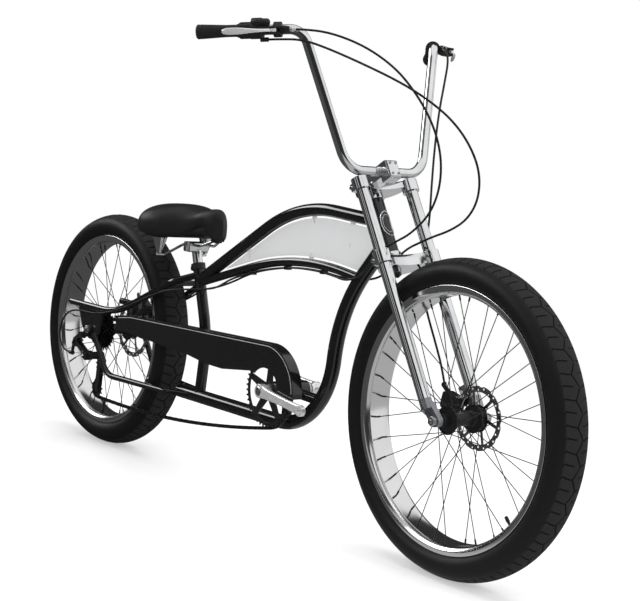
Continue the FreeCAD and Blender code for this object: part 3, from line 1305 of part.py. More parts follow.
def lower_crown():
    """The lower crown with its steerer pressed in, from under the plate to the stem's top."""
    solid, cuts = crown(LOWER_CROWN_LOW, LOWER_CROWN_HIGH, LOWER_CROWN_LOW - 4.0, LOWER_CROWN_HIGH)
    seat = Vector(0, 0, HEAD_TUBE_BOTTOM - CUP_HEIGHT)
    race = cylinder(CUP_RADIUS - 1.0, Vector(0, 0, LOWER_CROWN_HIGH - 1.0), seat)
    low = Vector(0, 0, LOWER_CROWN_LOW - 6.0)
    steerer = ring(STEERER_RADIUS, STEERER_RADIUS - 3.0, low, Vector(0, 0, BAR_HEIGHT + STEERER_ABOVE_BAR))
    bore = cylinder(STEERER_RADIUS - 1.0, Vector(0, 0, LOWER_CROWN_LOW - 1.0), seat + UP)
    return in_fork(solid.fuse(race).cut(cuts + [bore]).fuse(steerer))


def fork_legs():
    """Straight tube legs, each with a forged end that carries the axle ahead of the tube."""
    legs = []
    for side in (1, -1):
        foot = Vector(LEG_LEAD, side * LEG_Y, LEG_BOTTOM)
        top = Vector(LEG_LEAD, side * LEG_Y, TOP_CROWN_HIGH + 1.5)
        tube = ring(LEG_RADIUS, LEG_RADIUS - 2.5, foot, top)
        cap = cylinder(LEG_RADIUS, top - UP * 3.0, top)
        inner = side * FRONT_DROPOUT_GAP / 2
        outer = side * (FRONT_DROPOUT_GAP / 2 + LUG_THICKNESS)
        low, high = min(inner, outer), max(inner, outer)
        lug = stadium(Vector(LEG_LEAD, 0, LEG_BOTTOM + 6.0), Vector(FORK_OFFSET, 0, 0), 13.0, 13.0, low, high)
        plug = cylinder(LEG_RADIUS, foot, foot + UP * 14.0)
        axle = Vector(FORK_OFFSET, 0, 0)
        hole = cylinder(AXLE_RADIUS + RUNNING_GAP, axle - LEFT * CUT_REACH, axle + LEFT * CUT_REACH)
        pieces = [cap, plug, lug]
        if side > 0:
            tab = Part.makeBox(22.0, CALIPER_TAB, 44.0)
            tab.translate(Vector(LEG_LEAD - LEG_RADIUS - 20.0, FRONT_CALIPER_HIGH + SEAT_GAP, 44.0))
            pieces.append(tab)
            for height in (54.0, 78.0):
                bolt_y = FRONT_CALIPER_HIGH + SEAT_GAP + CALIPER_TAB
                bolt = Vector(LEG_LEAD - LEG_RADIUS - 12.0, bolt_y, height)
                pieces.append(cylinder(4.5, bolt - LEFT, bolt + LEFT * 3.5))
        legs.append(in_fork(tube.fuse(pieces).cut(hole)))
    return Part.makeCompound(legs)


def bar_path(end):
    """The handlebar's centre line from right end to left end."""
    low = fork_point(BAR_LEAD, BAR_LOW_Y, BAR_HEIGHT)
    top = at(*BAR_TOP)
    tip = top + GRIP_ALONG * end
    half = [tip, top, low]
    other = [Vector(point.x, -point.y, point.z) for point in half]
    return bent_path(other + half[::-1], (BAR_TOP_BEND, BAR_LOW_BEND, BAR_LOW_BEND, BAR_TOP_BEND))


SPLAY = math.radians(GRIP_SPLAY)
DROP = math.radians(GRIP_DROP)
GRIP_ALONG = Vector(-math.cos(SPLAY) * math.cos(DROP), math.sin(SPLAY) * math.cos(DROP), -math.sin(DROP))


def grip_frame():
    """The right grip's frame: x along the grip, y out to the lever, z up, from the bar's top corner."""
    corner = at(BAR_TOP[0], -BAR_TOP[1], BAR_TOP[2])
    along = Vector(GRIP_ALONG.x, -GRIP_ALONG.y, GRIP_ALONG.z)
    flat = Vector(math.sin(SPLAY), -math.cos(SPLAY), 0)
    rise = along.cross(flat)
    droop = math.radians(LEVER_DROOP)
    out = flat * math.cos(droop) - rise * math.sin(droop)
    up = along.cross(out)
    matrix = FreeCAD.Matrix(along.x, out.x, up.x, corner.x, along.y, out.y, up.y, corner.y,
                            along.z, out.z, up.z, corner.z, 0, 0, 0, 1)
    return FreeCAD.Placement(matrix)


def on_grip(shape):
    """Set a shape built along the x axis on to the right grip."""
    shape.Placement = grip_frame().multiply(shape.Placement)
    return shape


def handlebar():
    """The tall bar, bent from one tube."""
    return hollow(bar_path(BAR_END), BAR_RADIUS, BAR_WALL)


def stem():
    """A block clamped on the steerer, with a front cap and four bolts over the bar."""
    base = BAR_HEIGHT - STEM_DROP
    half = STEM_WIDTH / 2
    block = Part.makeBox(BAR_LEAD - 0.5 + 20.0, STEM_WIDTH, STEM_HEIGHT, Vector(-20.0, -half, base))
    block = block.makeFillet(9.0, [edge for edge in block.Edges if abs(edge.CenterOfMass.x + 20.0) < 0.1
                                   and edge.BoundBox.ZLength > 1.0])
    corner = Vector(BAR_LEAD + 0.5, -half, base - STEM_CAP_DROP)
    cap = Part.makeBox(STEM_CAP_DEPTH, STEM_WIDTH, STEM_HEIGHT + STEM_CAP_DROP, corner)
    front = corner.x + STEM_CAP_DEPTH
    cap = cap.makeFillet(8.0, [edge for edge in cap.Edges if abs(edge.CenterOfMass.x - front) < 0.1])
    middle = Vector(BAR_LEAD, 0, BAR_HEIGHT)
    bar = cylinder(BAR_RADIUS + FIT_GAP, middle - LEFT * CUT_REACH, middle + LEFT * CUT_REACH)
    post = cylinder(STEERER_RADIUS + FIT_GAP, Vector(0, 0, base - 1.0), Vector(0, 0, base + 60.0))
    return in_fork(Part.makeCompound([block.cut([bar, post]), cap.cut(bar)]))


def grip(start):
    """A rubber grip that flares to its closed end."""
    profile = [
        (BAR_RADIUS + FIT_GAP, start), (GRIP_RADIUS + 2.0, start), (GRIP_RADIUS + 2.0, start + 4.0),
        (GRIP_RADIUS, start + 7.0), (GRIP_RADIUS, start + 30.0), (GRIP_FLARE_RADIUS, GRIP_END - 5.0),
        (GRIP_FLARE_RADIUS - 2.0, GRIP_END), (0.0, GRIP_END), (0.0, BAR_END + FIT_GAP),
        (BAR_RADIUS + FIT_GAP, BAR_END + FIT_GAP),
    ]
    corners = [Vector(along, radius, 0) for radius, along in profile]
    face = Part.Face(Part.makePolygon(corners + [corners[0]]))
    return on_grip(face.revolve(Vector(), AHEAD, 360))


def grips():
    """The right grip beside the shifter and the longer left grip."""
    return Part.makeCompound([grip(GRIP_START_RIGHT), mirrored(grip(GRIP_START_LEFT))])


def bar_sleeve(start, end, radius, gap):
    """A sleeve on the right end of the bar."""
    return ring(radius, BAR_RADIUS + gap, AHEAD * start, AHEAD * end)


def shifter_pod():
    """The twist shifter's fixed housing with its gear window and cable exit."""
    pod = bar_sleeve(SHIFTER_START, COLLAR_START - SEAT_GAP, SHIFTER_RADIUS, 0.02)
    window = cylinder(13.0, Vector(SHIFTER_START + 13.0, 0, 14.0), Vector(SHIFTER_START + 13.0, 0, 27.0))
    window = window.makeFillet(4.0, [edge for edge in window.Edges if edge.BoundBox.ZMin > 26.0])
    drop = UP * -SPOUT_DROP
    spout = cylinder(5.0, drop + AHEAD * SPOUT_END_A, drop + AHEAD * (SHIFTER_START + 6.0))
    bore = cylinder(BAR_RADIUS + FIT_GAP, Vector(), AHEAD * CUT_REACH)
    return on_grip(pod.fuse([window, spout]).cut(bore))


def shift_collar():
    """The twist collar with finger ribs, between the housing and the grip."""
    collar = bar_sleeve(COLLAR_START, GRIP_START_RIGHT - SEAT_GAP, COLLAR_RADIUS, RUNNING_GAP)
    ribs = []
    count = 10
    for index in range(count):
        skin = LEFT * COLLAR_RADIUS
        rib = cylinder(1.8, skin + AHEAD * (COLLAR_START + 2.0), skin + AHEAD * (GRIP_START_RIGHT - 3.0))
        rib.rotate(Vector(), AHEAD, 360.0 * index / count)
        ribs.append(rib)
    return on_grip(collar.fuse(ribs))


def lever_perch():
    """The right lever's bracket: bar clamp, two ears on the pivot pin and the cable's adjuster."""
    half = LEVER_THICKNESS / 2
    clamp = bar_sleeve(LEVER_PIVOT_A - 8.0, LEVER_PIVOT_A + 8.0, BAR_RADIUS + 6.0, 0.02)
    pieces = [clamp]
    for side in (1, -1):
        low = side * (half + SEAT_GAP)
        high = low + side * PERCH_EAR
        corners = [Vector(a, b, min(low, high)) for a, b in PERCH_OUTLINE]
        ear = Part.Face(Part.makePolygon(corners + corners[:1])).extrude(UP * PERCH_EAR)
        eye = Vector(LEVER_PIVOT_A, LEVER_PIVOT_B, 0)
        ear = ear.fuse(cylinder(7.0, eye + UP * low, eye + UP * high))
        pieces.append(ear)
    web = Part.makeBox(5.0, 26.0, LEVER_THICKNESS + 2 * SEAT_GAP + 2.0)
    web.translate(Vector(LEVER_PIVOT_A - 19.0, 13.0, -half - SEAT_GAP - 1.0))
    pin_foot = Vector(LEVER_PIVOT_A, LEVER_PIVOT_B, -half - SEAT_GAP - 1.0)
    pin = cylinder(LEVER_PIN_RADIUS, pin_foot, pin_foot + UP * (LEVER_THICKNESS + 2 * SEAT_GAP + 2.0))
    seat = LEFT * ADJUSTER_B
    adjuster = cylinder(4.5, seat + AHEAD * (LEVER_PIVOT_A - 17.0), seat + AHEAD * ADJUSTER_END_A)
    solid = clamp.fuse(pieces[1:] + [web, pin, adjuster])
    bore = cylinder(BAR_RADIUS + FIT_GAP, Vector(), AHEAD * CUT_REACH)
    return on_grip(solid.cut(bore))


def lever_perches():
    """Both lever brackets."""
    right = lever_perch()
    return Part.makeCompound([right, mirrored(right)])


def brake_lever():
    """The right lever: hub on the pin, cable nose and a curved blade with a ball tip."""
    half = LEVER_THICKNESS / 2
    tip_b = LEVER_PIVOT_B + 12.0
    edges = [
        Part.Arc(Vector(LEVER_PIVOT_A, LEVER_PIVOT_B + 6.0, 0), Vector(LEVER_PIVOT_A + 45, tip_b + 7.0, 0),
                 Vector(LEVER_TIP_A, tip_b + 3.0, 0)),
        Part.Arc(Vector(LEVER_TIP_A, tip_b + 3.0, 0), Vector(LEVER_TIP_A + 7.0, tip_b - 3.0, 0),
                 Vector(LEVER_TIP_A, tip_b - 9.0, 0)),
        Part.Arc(Vector(LEVER_TIP_A, tip_b - 9.0, 0), Vector(LEVER_PIVOT_A + 55, tip_b - 4.0, 0),
                 Vector(LEVER_PIVOT_A, LEVER_PIVOT_B - 6.0, 0)),
        Part.LineSegment(Vector(LEVER_PIVOT_A, LEVER_PIVOT_B - 6.0, 0),
                         Vector(LEVER_PIVOT_A, LEVER_PIVOT_B + 6.0, 0)),
    ]
    blade = Part.Face(Part.Wire([edge.toShape() for edge in edges])).extrude(UP * LEVER_THICKNESS)
    blade.translate(UP * -half)
    foot = Vector(LEVER_PIVOT_A, LEVER_PIVOT_B, -half)
    eye = cylinder(6.0, foot, foot + UP * LEVER_THICKNESS)
    nose_foot = Vector(LEVER_PIVOT_A, LEVER_PIVOT_B - 12.0, -half)
    nose = cylinder(4.0, nose_foot, nose_foot + UP * LEVER_THICKNESS)
    neck = Part.makeBox(7.0, 12.0, LEVER_THICKNESS, Vector(LEVER_PIVOT_A - 3.5, LEVER_PIVOT_B - 12.0, -half))
    solid = blade.fuse([eye, nose, neck])
    hole = cylinder(LEVER_PIN_RADIUS + RUNNING_GAP, foot - UP, foot + UP * (LEVER_THICKNESS + 2.0))
    return on_grip(solid.cut(hole))


# Brakes
def caliper(place, disc_radius, disc_y, low_y, high_y):
    """A caliper on the x axis, straddling the disc's edge, with its pivot pin along y."""
    inner = place - CALIPER_LENGTH / 2
    corner = Vector(inner, low_y, -CALIPER_WIDTH / 2)
    body = Part.makeBox(CALIPER_LENGTH, high_y - low_y, CALIPER_WIDTH, corner)
    body = body.makeFillet(7.0, [edge for edge in body.Edges if edge.BoundBox.YLength > 1.0])
    slot = Part.makeBox(disc_radius + 3.0 - inner + 20.0, CALIPER_SLOT, CALIPER_WIDTH + 2.0,
                        Vector(inner - 20.0, disc_y - CALIPER_SLOT / 2, -CALIPER_WIDTH / 2 - 1.0))
    return body.cut(slot)


def caliper_arm(place, lean, face_y, way):
    """The actuating arm on the caliper's face: boss, arm and cable pinch."""
    centre = Vector(place + 8.0, 0, 0)
    bearing = math.radians(lean)
    tip = centre + Vector(math.cos(bearing), 0, math.sin(bearing)) * CALIPER_ARM
    near = face_y + way * SEAT_GAP
    far = near + way * 4.5
    low, high = min(near, far), max(near, far)
    arm = stadium(centre, tip, 11.0, 6.0, low, high)
    pin = cylinder(CALIPER_PIN_RADIUS, Vector(centre.x, near, 0), Vector(centre.x, near - way * 6.0, 0))
    pinch = cylinder(4.0, Vector(tip.x, low, tip.z), Vector(tip.x, high, tip.z))
    return arm.fuse([pin, pinch])


def set_caliper(shape, axle_point, angle):
    """Turn a caliper to its place round an axle."""
    shape.rotate(Vector(), LEFT, -angle)
    shape.translate(Vector(axle_point.x, 0, axle_point.z))
    return shape


def caliper_bore(place, face_y, way):
    """The arm's pivot bore in a caliper."""
    start = Vector(place + 8.0, face_y + way, 0)
    return cylinder(CALIPER_PIN_RADIUS + RUNNING_GAP, start, start - LEFT * (way * 7.0))


def cable_stop(route, root, low_y, high_y):
    """The seat for a cable's end on a caliper: a short sleeve on a flat strut from the body."""
    end = at(*route[-1])
    back = (at(*route[-2]) - end).normalize()
    sleeve = ring(CABLE_STOP_RADIUS, CABLE_DIAMETER / 2 + SEAT_GAP, end - back, end + back * CABLE_STOP_LENGTH)
    strut = stadium(at(root[0], 0, root[1]), end + back * (CABLE_STOP_LENGTH / 2), 6.0, 4.5, low_y, high_y)
    hole = cylinder(CABLE_DIAMETER / 2 + SEAT_GAP, end - back * 2.0, end + back * (CABLE_STOP_LENGTH + 10.0))
    return [sleeve, strut.cut(hole)]


def rear_caliper():
    """The rear caliper on two posts from the left seat stay."""
    body = caliper(REAR_CALIPER_RADIUS, REAR_DISC_RADIUS, REAR_DISC_Y, REAR_CALIPER_LOW, REAR_CALIPER_HIGH)
    body = body.cut(caliper_bore(REAR_CALIPER_RADIUS, REAR_CALIPER_LOW, -1))
    body = set_caliper(body, REAR_AXLE, REAR_CALIPER_ANGLE)
    posts = []
    for x in (34.0, 66.0):
        post_z = SEAT_STAY_HIP[2] + 2.0
        post = cylinder(5.0, at(x, REAR_CALIPER_HIGH - 4.0, post_z), at(x, SEAT_STAY_HIP[1], post_z))
        posts.append(largest(post.cut(mirrored(SEAT_STAY_BODY))))
    stop = cable_stop(REAR_BRAKE_ROUTE, REAR_STOP_ROOT, REAR_CALIPER_LOW, REAR_CALIPER_LOW + 4.0)
    return body.fuse(posts + stop)


def front_caliper():
    """The front caliper on the left leg's tab."""
    body = caliper(FRONT_CALIPER_RADIUS, FRONT_DISC_RADIUS, FRONT_DISC_Y, FRONT_CALIPER_LOW, FRONT_CALIPER_HIGH)
    body = body.cut(caliper_bore(FRONT_CALIPER_RADIUS, FRONT_CALIPER_HIGH, 1))
    body = set_caliper(body, FRONT_AXLE, FRONT_CALIPER_ANGLE)
    stop = cable_stop(FRONT_BRAKE_ROUTE, FRONT_STOP_ROOT, FRONT_CALIPER_HIGH - 4.0, FRONT_CALIPER_HIGH)
    return body.fuse(stop)


# Saddle
def saddle_pad():
    """A sprung cruiser saddle's padded top: broad tail, waist and rounded nose."""
    sections = []
    for x, half, low, crown_z in SADDLE_STATIONS:
        tall = crown_z - low

        def spot(side, share, height):
            return at(x, side * half * share, low + tall * height)

        edges = [
            Part.LineSegment(spot(-1, 0.86, 0.0), spot(1, 0.86, 0.0)).toShape(),
            Part.Arc(spot(1, 0.86, 0.0), spot(1, 1.0, 0.34), spot(1, 0.82, 0.8)).toShape(),
            Part.Arc(spot(1, 0.82, 0.8), spot(0, 1.0, 1.0), spot(-1, 0.82, 0.8)).toShape(),
            Part.Arc(spot(-1, 0.82, 0.8), spot(-1, 1.0, 0.34), spot(-1, 0.86, 0.0)).toShape(),
        ]
        sections.append(Part.Wire(edges))
    return Part.makeLoft(sections, True, False)


def seat_post():
    """The seat post tube."""
    low = seat_tube_point(SEAT_POST_DEPTH)
    high = seat_tube_point(-SEAT_POST_RISE)
    return ring(SEAT_POST_RADIUS, SEAT_POST_RADIUS - 2.0, low, high)


def spring_seat():
    """The height of the spring tops under the saddle's tail."""
    behind = max(station for station in SADDLE_STATIONS if station[0] <= SPRING_X)
    ahead = min(station for station in SADDLE_STATIONS if station[0] > SPRING_X)
    share = (SPRING_X - behind[0] - SPRING_TOP_RADIUS) / (ahead[0] - behind[0])
    return behind[2] + (ahead[2] - behind[2]) * share - 3 * SEAT_GAP


def saddle_springs():
    """Two turned bullet springs' covers between the tail and the rails."""
    cups = []
    for side in (1, -1):
        top = at(SPRING_X, side * SPRING_Y, spring_seat())
        foot = top - UP * SPRING_HEIGHT
        cone = Part.makeCone(SPRING_FOOT_RADIUS, SPRING_TOP_RADIUS, SPRING_HEIGHT, foot, UP)
        cups.append(cone)
    return Part.makeCompound(cups)


def saddle_rails():
    """Two wires from the nose through the clamp to the springs' feet, and the clamp on the post."""
    pieces = []
    clamp = seat_tube_point(-SEAT_POST_RISE)
    foot_z = spring_seat() - SPRING_HEIGHT - SADDLE_RAIL_RADIUS - SEAT_GAP
    for side in (1, -1):
        nose_z = SADDLE_STATIONS[5][2] - SADDLE_RAIL_RADIUS - SEAT_GAP
        points = [
            at(SADDLE_RAIL_NOSE[0], side * SADDLE_RAIL_NOSE[1], nose_z),
            Vector(clamp.x + 50.0, side * SADDLE_RAIL_Y, clamp.z + 6.0),
            Vector(clamp.x - 22.0, side * SADDLE_RAIL_Y, clamp.z + 4.0),
            at(SPRING_X + 4.0, side * SPRING_Y * 0.8, foot_z), at(SPRING_X - 4.0, side * (SPRING_Y + 6.0), foot_z),
        ]
        pieces.append(pipe(bent_path(points, (30.0, 20.0, 5.0)), SADDLE_RAIL_RADIUS))
    corner = Vector(clamp.x - 15.0, -SADDLE_RAIL_Y - 7.0, clamp.z - 14.0)
    block = Part.makeBox(30.0, 2 * SADDLE_RAIL_Y + 14.0, 26.0, corner)
    block = block.makeFillet(6.0, [edge for edge in block.Edges if edge.BoundBox.YLength > 1.0])
    post = cylinder(SEAT_POST_RADIUS + FIT_GAP, seat_tube_point(0.0), seat_tube_point(-SEAT_POST_RISE))
    pieces.append(block.cut(pieces + [post]))
    return Part.makeCompound(pieces)


# Cables
def cable_start(a, b, c, side):
    """The first two points of a cable that leaves its seat on a grip, back along the bar."""
    points = []
    for step in (SEAT_GAP, 26.0):
        point = grip_frame().multVec(Vector(a - step, b, c))
        points.append(Vector(point.x, -side * point.y, point.z))
    return points


def cable(name, start, route):
    """A cable from its seat along its route, with a note of its tightest bend."""
    path, radii = cord_path(start + [at(*point) for point in route])
    tube = pipe(path, CABLE_DIAMETER / 2)
    section = math.pi * (CABLE_DIAMETER / 2) ** 2
    print(name, "length", round(path.Length), "least radius", round(min(radii), 1),
          "volume share", round(tube.Volume / (section * path.Length), 3))
    return tube, pipe(path, CABLE_DIAMETER / 2 + 0.1)


REAR_BRAKE_CABLE, REAR_BRAKE_HOLE = cable(
    "rear_brake_cable", cable_start(ADJUSTER_END_A, ADJUSTER_B, 0, -1), REAR_BRAKE_ROUTE)
SHIFT_CABLE, SHIFT_HOLE = cable(
    "shift_cable", cable_start(SPOUT_END_A, 0, -SPOUT_DROP, -1)[:1]
    + [grip_frame().multVec(Vector(SPOUT_END_A - 20.0, 0, -SPOUT_DROP))], SHIFT_ROUTE)
FRONT_BRAKE_CABLE, FRONT_BRAKE_HOLE = cable(
    "front_brake_cable", cable_start(ADJUSTER_END_A, ADJUSTER_B, 0, 1), FRONT_BRAKE_ROUTE)
CABLE_HOLES = [REAR_BRAKE_HOLE, SHIFT_HOLE]


def wheel(parts, name, centre, bead, flange_left, flange_right, hub_right, boss, disc_y, disc_radius):
    """Add one wheel's pieces, all turning on their axle."""
    place = Vector(centre.x, 0, centre.z)
    parts[name + "_tyre"] = moved(tyre(bead), place)
    parts[name + "_rim"] = moved(rim(bead), place)
    parts[name + "_spokes"] = moved(spokes(bead, flange_left, flange_right), place)
    parts[name + "_hub"] = moved(hub(hub_right, boss, flange_right, flange_left, disc_y), place)
    parts[name + "_disc"] = moved(rotor(disc_radius), place + LEFT * disc_y)


def build():
    """Every node of the bicycle by name."""
    parts = {
        "head_tube": head_tube(), "down_tube": down_tube(), "top_tube": top_tube(), "tank_tube": tank_tube(),
        "seat_tube": seat_tube(), "bottom_bracket_shell": bottom_bracket_shell(), "seat_stays": seat_stays(),
        "chain_stays": chain_stays(), "dropouts": dropouts(), "tank_panel": tank_panel(),
        "bearing_cups": bearing_cups(), "seat_clamp": seat_clamp(), "chain_guard": chain_guard(),
        "rear_caliper": rear_caliper(), "chain": chain(), "derailleur_knuckle": derailleur_knuckle(),
        "rear_brake_cable": REAR_BRAKE_CABLE, "shift_cable": SHIFT_CABLE,
        "rear_axle": axle(REAR_AXLE, REAR_DROPOUT_GAP / 2, REAR_HUB_LEFT, REAR_HUB_RIGHT,
                          REAR_DROPOUT_GAP / 2 + DROPOUT_THICKNESS + 3.5),
        "seat_post": seat_post(), "saddle_rails": saddle_rails(), "saddle_springs": saddle_springs(),
        "saddle_pad": saddle_pad(),
        "crank_spindle": crank_spindle(), "chainring": chainring(),
        "crank_arm_right": crank_arm(-1), "crank_arm_left": crank_arm(1), "freewheel": freewheel(),
        "derailleur_outer_link": derailleur_link(-LINK_SPREAD),
        "derailleur_inner_link": derailleur_link(LINK_SPREAD),
        "derailleur_body": derailleur_body(), "derailleur_cage": derailleur_cage(),
        "upper_jockey_wheel": jockey_wheel(UPPER_JOCKEY), "lower_jockey_wheel": jockey_wheel(LOWER_JOCKEY),
        "fork_legs": fork_legs(), "top_crown": top_crown(), "lower_crown": lower_crown(), "stem": stem(),
        "handlebar": handlebar(), "grips": grips(), "lever_perches": lever_perches(),
        "shifter_pod": shifter_pod(), "shift_collar": shift_collar(),
        "brake_lever_right": brake_lever(), "brake_lever_left": mirrored(brake_lever()),
        "front_axle": axle(FRONT_AXLE, FRONT_DROPOUT_GAP / 2, FRONT_HUB_LEFT, FRONT_HUB_RIGHT,
                           FRONT_DROPOUT_GAP / 2 + LUG_THICKNESS),
        "front_caliper": front_caliper(), "front_brake_cable": FRONT_BRAKE_CABLE,
        "rear_caliper_arm": set_caliper(
            caliper_arm(REAR_CALIPER_RADIUS, REAR_CALIPER_ARM_LEAN, REAR_CALIPER_LOW, -1),
            REAR_AXLE, REAR_CALIPER_ANGLE),
        "front_caliper_arm": set_caliper(
            caliper_arm(FRONT_CALIPER_RADIUS, FRONT_CALIPER_ARM_LEAN, FRONT_CALIPER_HIGH, 1),
            FRONT_AXLE, FRONT_CALIPER_ANGLE),
    }
    wheel(parts, "rear", REAR_AXLE, REAR_BEAD_RADIUS, REAR_FLANGE_LEFT_Y, REAR_FLANGE_RIGHT_Y,
          REAR_HUB_RIGHT, FREEWHEEL_BORE_RADIUS, REAR_DISC_Y, REAR_DISC_RADIUS)
    wheel(parts, "front", FRONT_AXLE, FRONT_BEAD_RADIUS, FRONT_FLANGE_Y, FRONT_FLANGE_Y,
          FRONT_HUB_RIGHT, HUB_BARREL_RADIUS, FRONT_DISC_Y, FRONT_DISC_RADIUS)
    return parts


os.makedirs("parts", exist_ok=True)
for node, shape in build().items():
    shape.exportStep("parts/" + node + ".step")
    print(node, len(shape.Solids), "solids", round(shape.Volume / 1000, 1), "cm3", shape.isValid())
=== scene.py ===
"""Looks of a stretched cruiser bicycle: finishes, tyres, saddle, cables and small fittings on its frame."""
import json
import logging
import math
from dataclasses import dataclass, field
from enum import Enum
from typing import Optional, Sequence, Union

import bmesh
import bpy
import numpy as np
from mathutils import Matrix


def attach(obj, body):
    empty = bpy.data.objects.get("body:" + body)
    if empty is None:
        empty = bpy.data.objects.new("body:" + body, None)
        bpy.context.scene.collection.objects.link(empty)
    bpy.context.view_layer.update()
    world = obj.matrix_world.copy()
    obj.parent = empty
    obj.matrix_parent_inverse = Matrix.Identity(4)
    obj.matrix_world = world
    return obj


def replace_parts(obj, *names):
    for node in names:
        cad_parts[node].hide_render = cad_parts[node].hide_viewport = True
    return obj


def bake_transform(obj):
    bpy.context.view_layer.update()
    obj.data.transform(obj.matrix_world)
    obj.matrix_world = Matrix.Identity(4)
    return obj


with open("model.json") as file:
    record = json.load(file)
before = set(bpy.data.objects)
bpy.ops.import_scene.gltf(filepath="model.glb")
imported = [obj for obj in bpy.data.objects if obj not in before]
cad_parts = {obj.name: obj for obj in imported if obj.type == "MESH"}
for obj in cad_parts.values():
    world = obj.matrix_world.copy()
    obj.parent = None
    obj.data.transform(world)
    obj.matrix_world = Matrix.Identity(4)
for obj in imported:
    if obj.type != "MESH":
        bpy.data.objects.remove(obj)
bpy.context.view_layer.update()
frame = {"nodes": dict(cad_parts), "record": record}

LOG = logging.getLogger("cruiser")
MM = 0.001
UP = np.array([0.0, 0.0, 1.0])
LEFT = np.array([0.0, 1.0, 0.0])
AHEAD = np.array([1.0, 0.0, 0.0])
SIDES = {"right": -1, "left": 1}
GRAIN_DEPTH = 0.2 * MM
JOINTS = {joint["name"]: joint for joint in frame["record"]["behaviour"]["joints"]}


def pivot(joint: str) -> np.ndarray:
    """The rest place of a joint, in metres."""
    return np.array(JOINTS[joint]["pos_m"], float)


def unit(vector: np.ndarray) -> np.ndarray:
    """The same direction at length one, along the last axis."""
    vector = np.asarray(vector, float)
    return vector / np.linalg.norm(vector, axis=-1, keepdims=True)


REAR_AXLE = pivot("rear_wheel_spin")
FRONT_AXLE = pivot("front_wheel_spin")
CRANK_AXLE = pivot("crank_spin")
STEER_UP = unit(np.array(JOINTS["steering"]["axis"], float))
STEER_AHEAD = np.array([STEER_UP[2], 0.0, -STEER_UP[0]])
STEER_FOOT = FRONT_AXLE - STEER_AHEAD * np.dot(FRONT_AXLE - pivot("steering"), STEER_AHEAD)


def place(x: float, y: float, z: float) -> np.ndarray:
    """A point given in mm ahead of the rear axle, to the left and above the floor, in metres."""
    return np.array([REAR_AXLE[0] + x * MM, y * MM, z * MM])


def fork_place(lead: float, y: float, height: float) -> np.ndarray:
    """A point given in mm ahead of the steering axis, to the left and up that axis, in metres."""
    return STEER_FOOT + STEER_AHEAD * lead * MM + STEER_UP * height * MM + LEFT * y * MM


def bearing_way(angle: float) -> np.ndarray:
    """The direction at an angle in radians round a wheel's axle, from straight ahead and upwards."""
    return np.array([math.cos(angle), 0.0, math.sin(angle)])


# Surfaces
@dataclass
class Surface:
    """Points and quads of one or more surfaces, with named values on the points.

    Args:
        points: array of n by 3 places in metres.
        quads: array of k by 4 point numbers.
        values: arrays of n numbers by name, which a finish can read.
    """

    points: np.ndarray
    quads: np.ndarray
    values: dict = field(default_factory=dict)

    def __add__(self, other: "Surface") -> "Surface":
        """Both surfaces as one."""
        return Surface(np.vstack([self.points, other.points]),
                       np.vstack([self.quads, other.quads + len(self.points)]))

    def piece(self, name: str, sharp: float = 38.0) -> bpy.types.Object:
        """Put the surface into a mesh object at the origin, welded at its seams and poles.

        Args:
            name: the piece's name.
            sharp: angle in degrees over which an edge stays sharp.

        Returns:
            The new object.
        """
        mesh = bpy.data.meshes.new(name)
        mesh.from_pydata(self.points.tolist(), [], self.quads.tolist())
        for label, numbers in self.values.items():
            layer = mesh.attributes.new(label, "FLOAT", "POINT")
            layer.data.foreach_set("value", np.asarray(numbers, np.float32).ravel())
        shape = bmesh.new()
        shape.from_mesh(mesh)
        bmesh.ops.remove_doubles(shape, verts=shape.verts, dist=1e-6)
        bmesh.ops.recalc_face_normals(shape, faces=shape.faces)
        shape.to_mesh(mesh)
        shape.free()
        mesh.polygons.foreach_set("use_smooth", np.ones(len(mesh.polygons), bool))
        mesh.set_sharp_from_angle(angle=math.radians(sharp))
        obj = bpy.data.objects.new(name, mesh)
        bpy.context.scene.collection.objects.link(obj)
        return obj


def lattice(rows: int, columns: int, round_rows: bool, round_columns: bool) -> np.ndarray:
    """The quads of a grid of points; a round side joins back to its start.

    Args:
        rows: rows of points.
        columns: points in each row.
        round_rows: True where the last row joins the first.
        round_columns: True where the last column joins the first.

    Returns:
        Array of k by 4 point numbers.
    """
    row, column = np.meshgrid(np.arange(rows if round_rows else rows - 1),
                              np.arange(columns if round_columns else columns - 1), indexing="ij")
    below = (row + 1) % rows
    beside = (column + 1) % columns
    corners = [row * columns + column, row * columns + beside,
               below * columns + beside, below * columns + column]
    return np.stack(corners, -1).reshape(-1, 4)


def sheet_of(points: np.ndarray, round_rows: bool = False, round_columns: bool = False) -> Surface:
    """A surface from a grid of rows by columns by 3."""
    rows, columns = points.shape[:2]
    return Surface(points.reshape(-1, 3), lattice(rows, columns, round_rows, round_columns))


def square_pair(axis: np.ndarray) -> tuple[np.ndarray, np.ndarray]:
    """Two directions square to an axis and to each other, by cross products.

    Args:
        axis: a direction of length one.

    Returns:
        The two directions.
    """
    helper = LEFT if abs(axis[1]) < 0.8 else AHEAD
    first = unit(np.cross(helper, axis))
    return first, np.cross(axis, first)


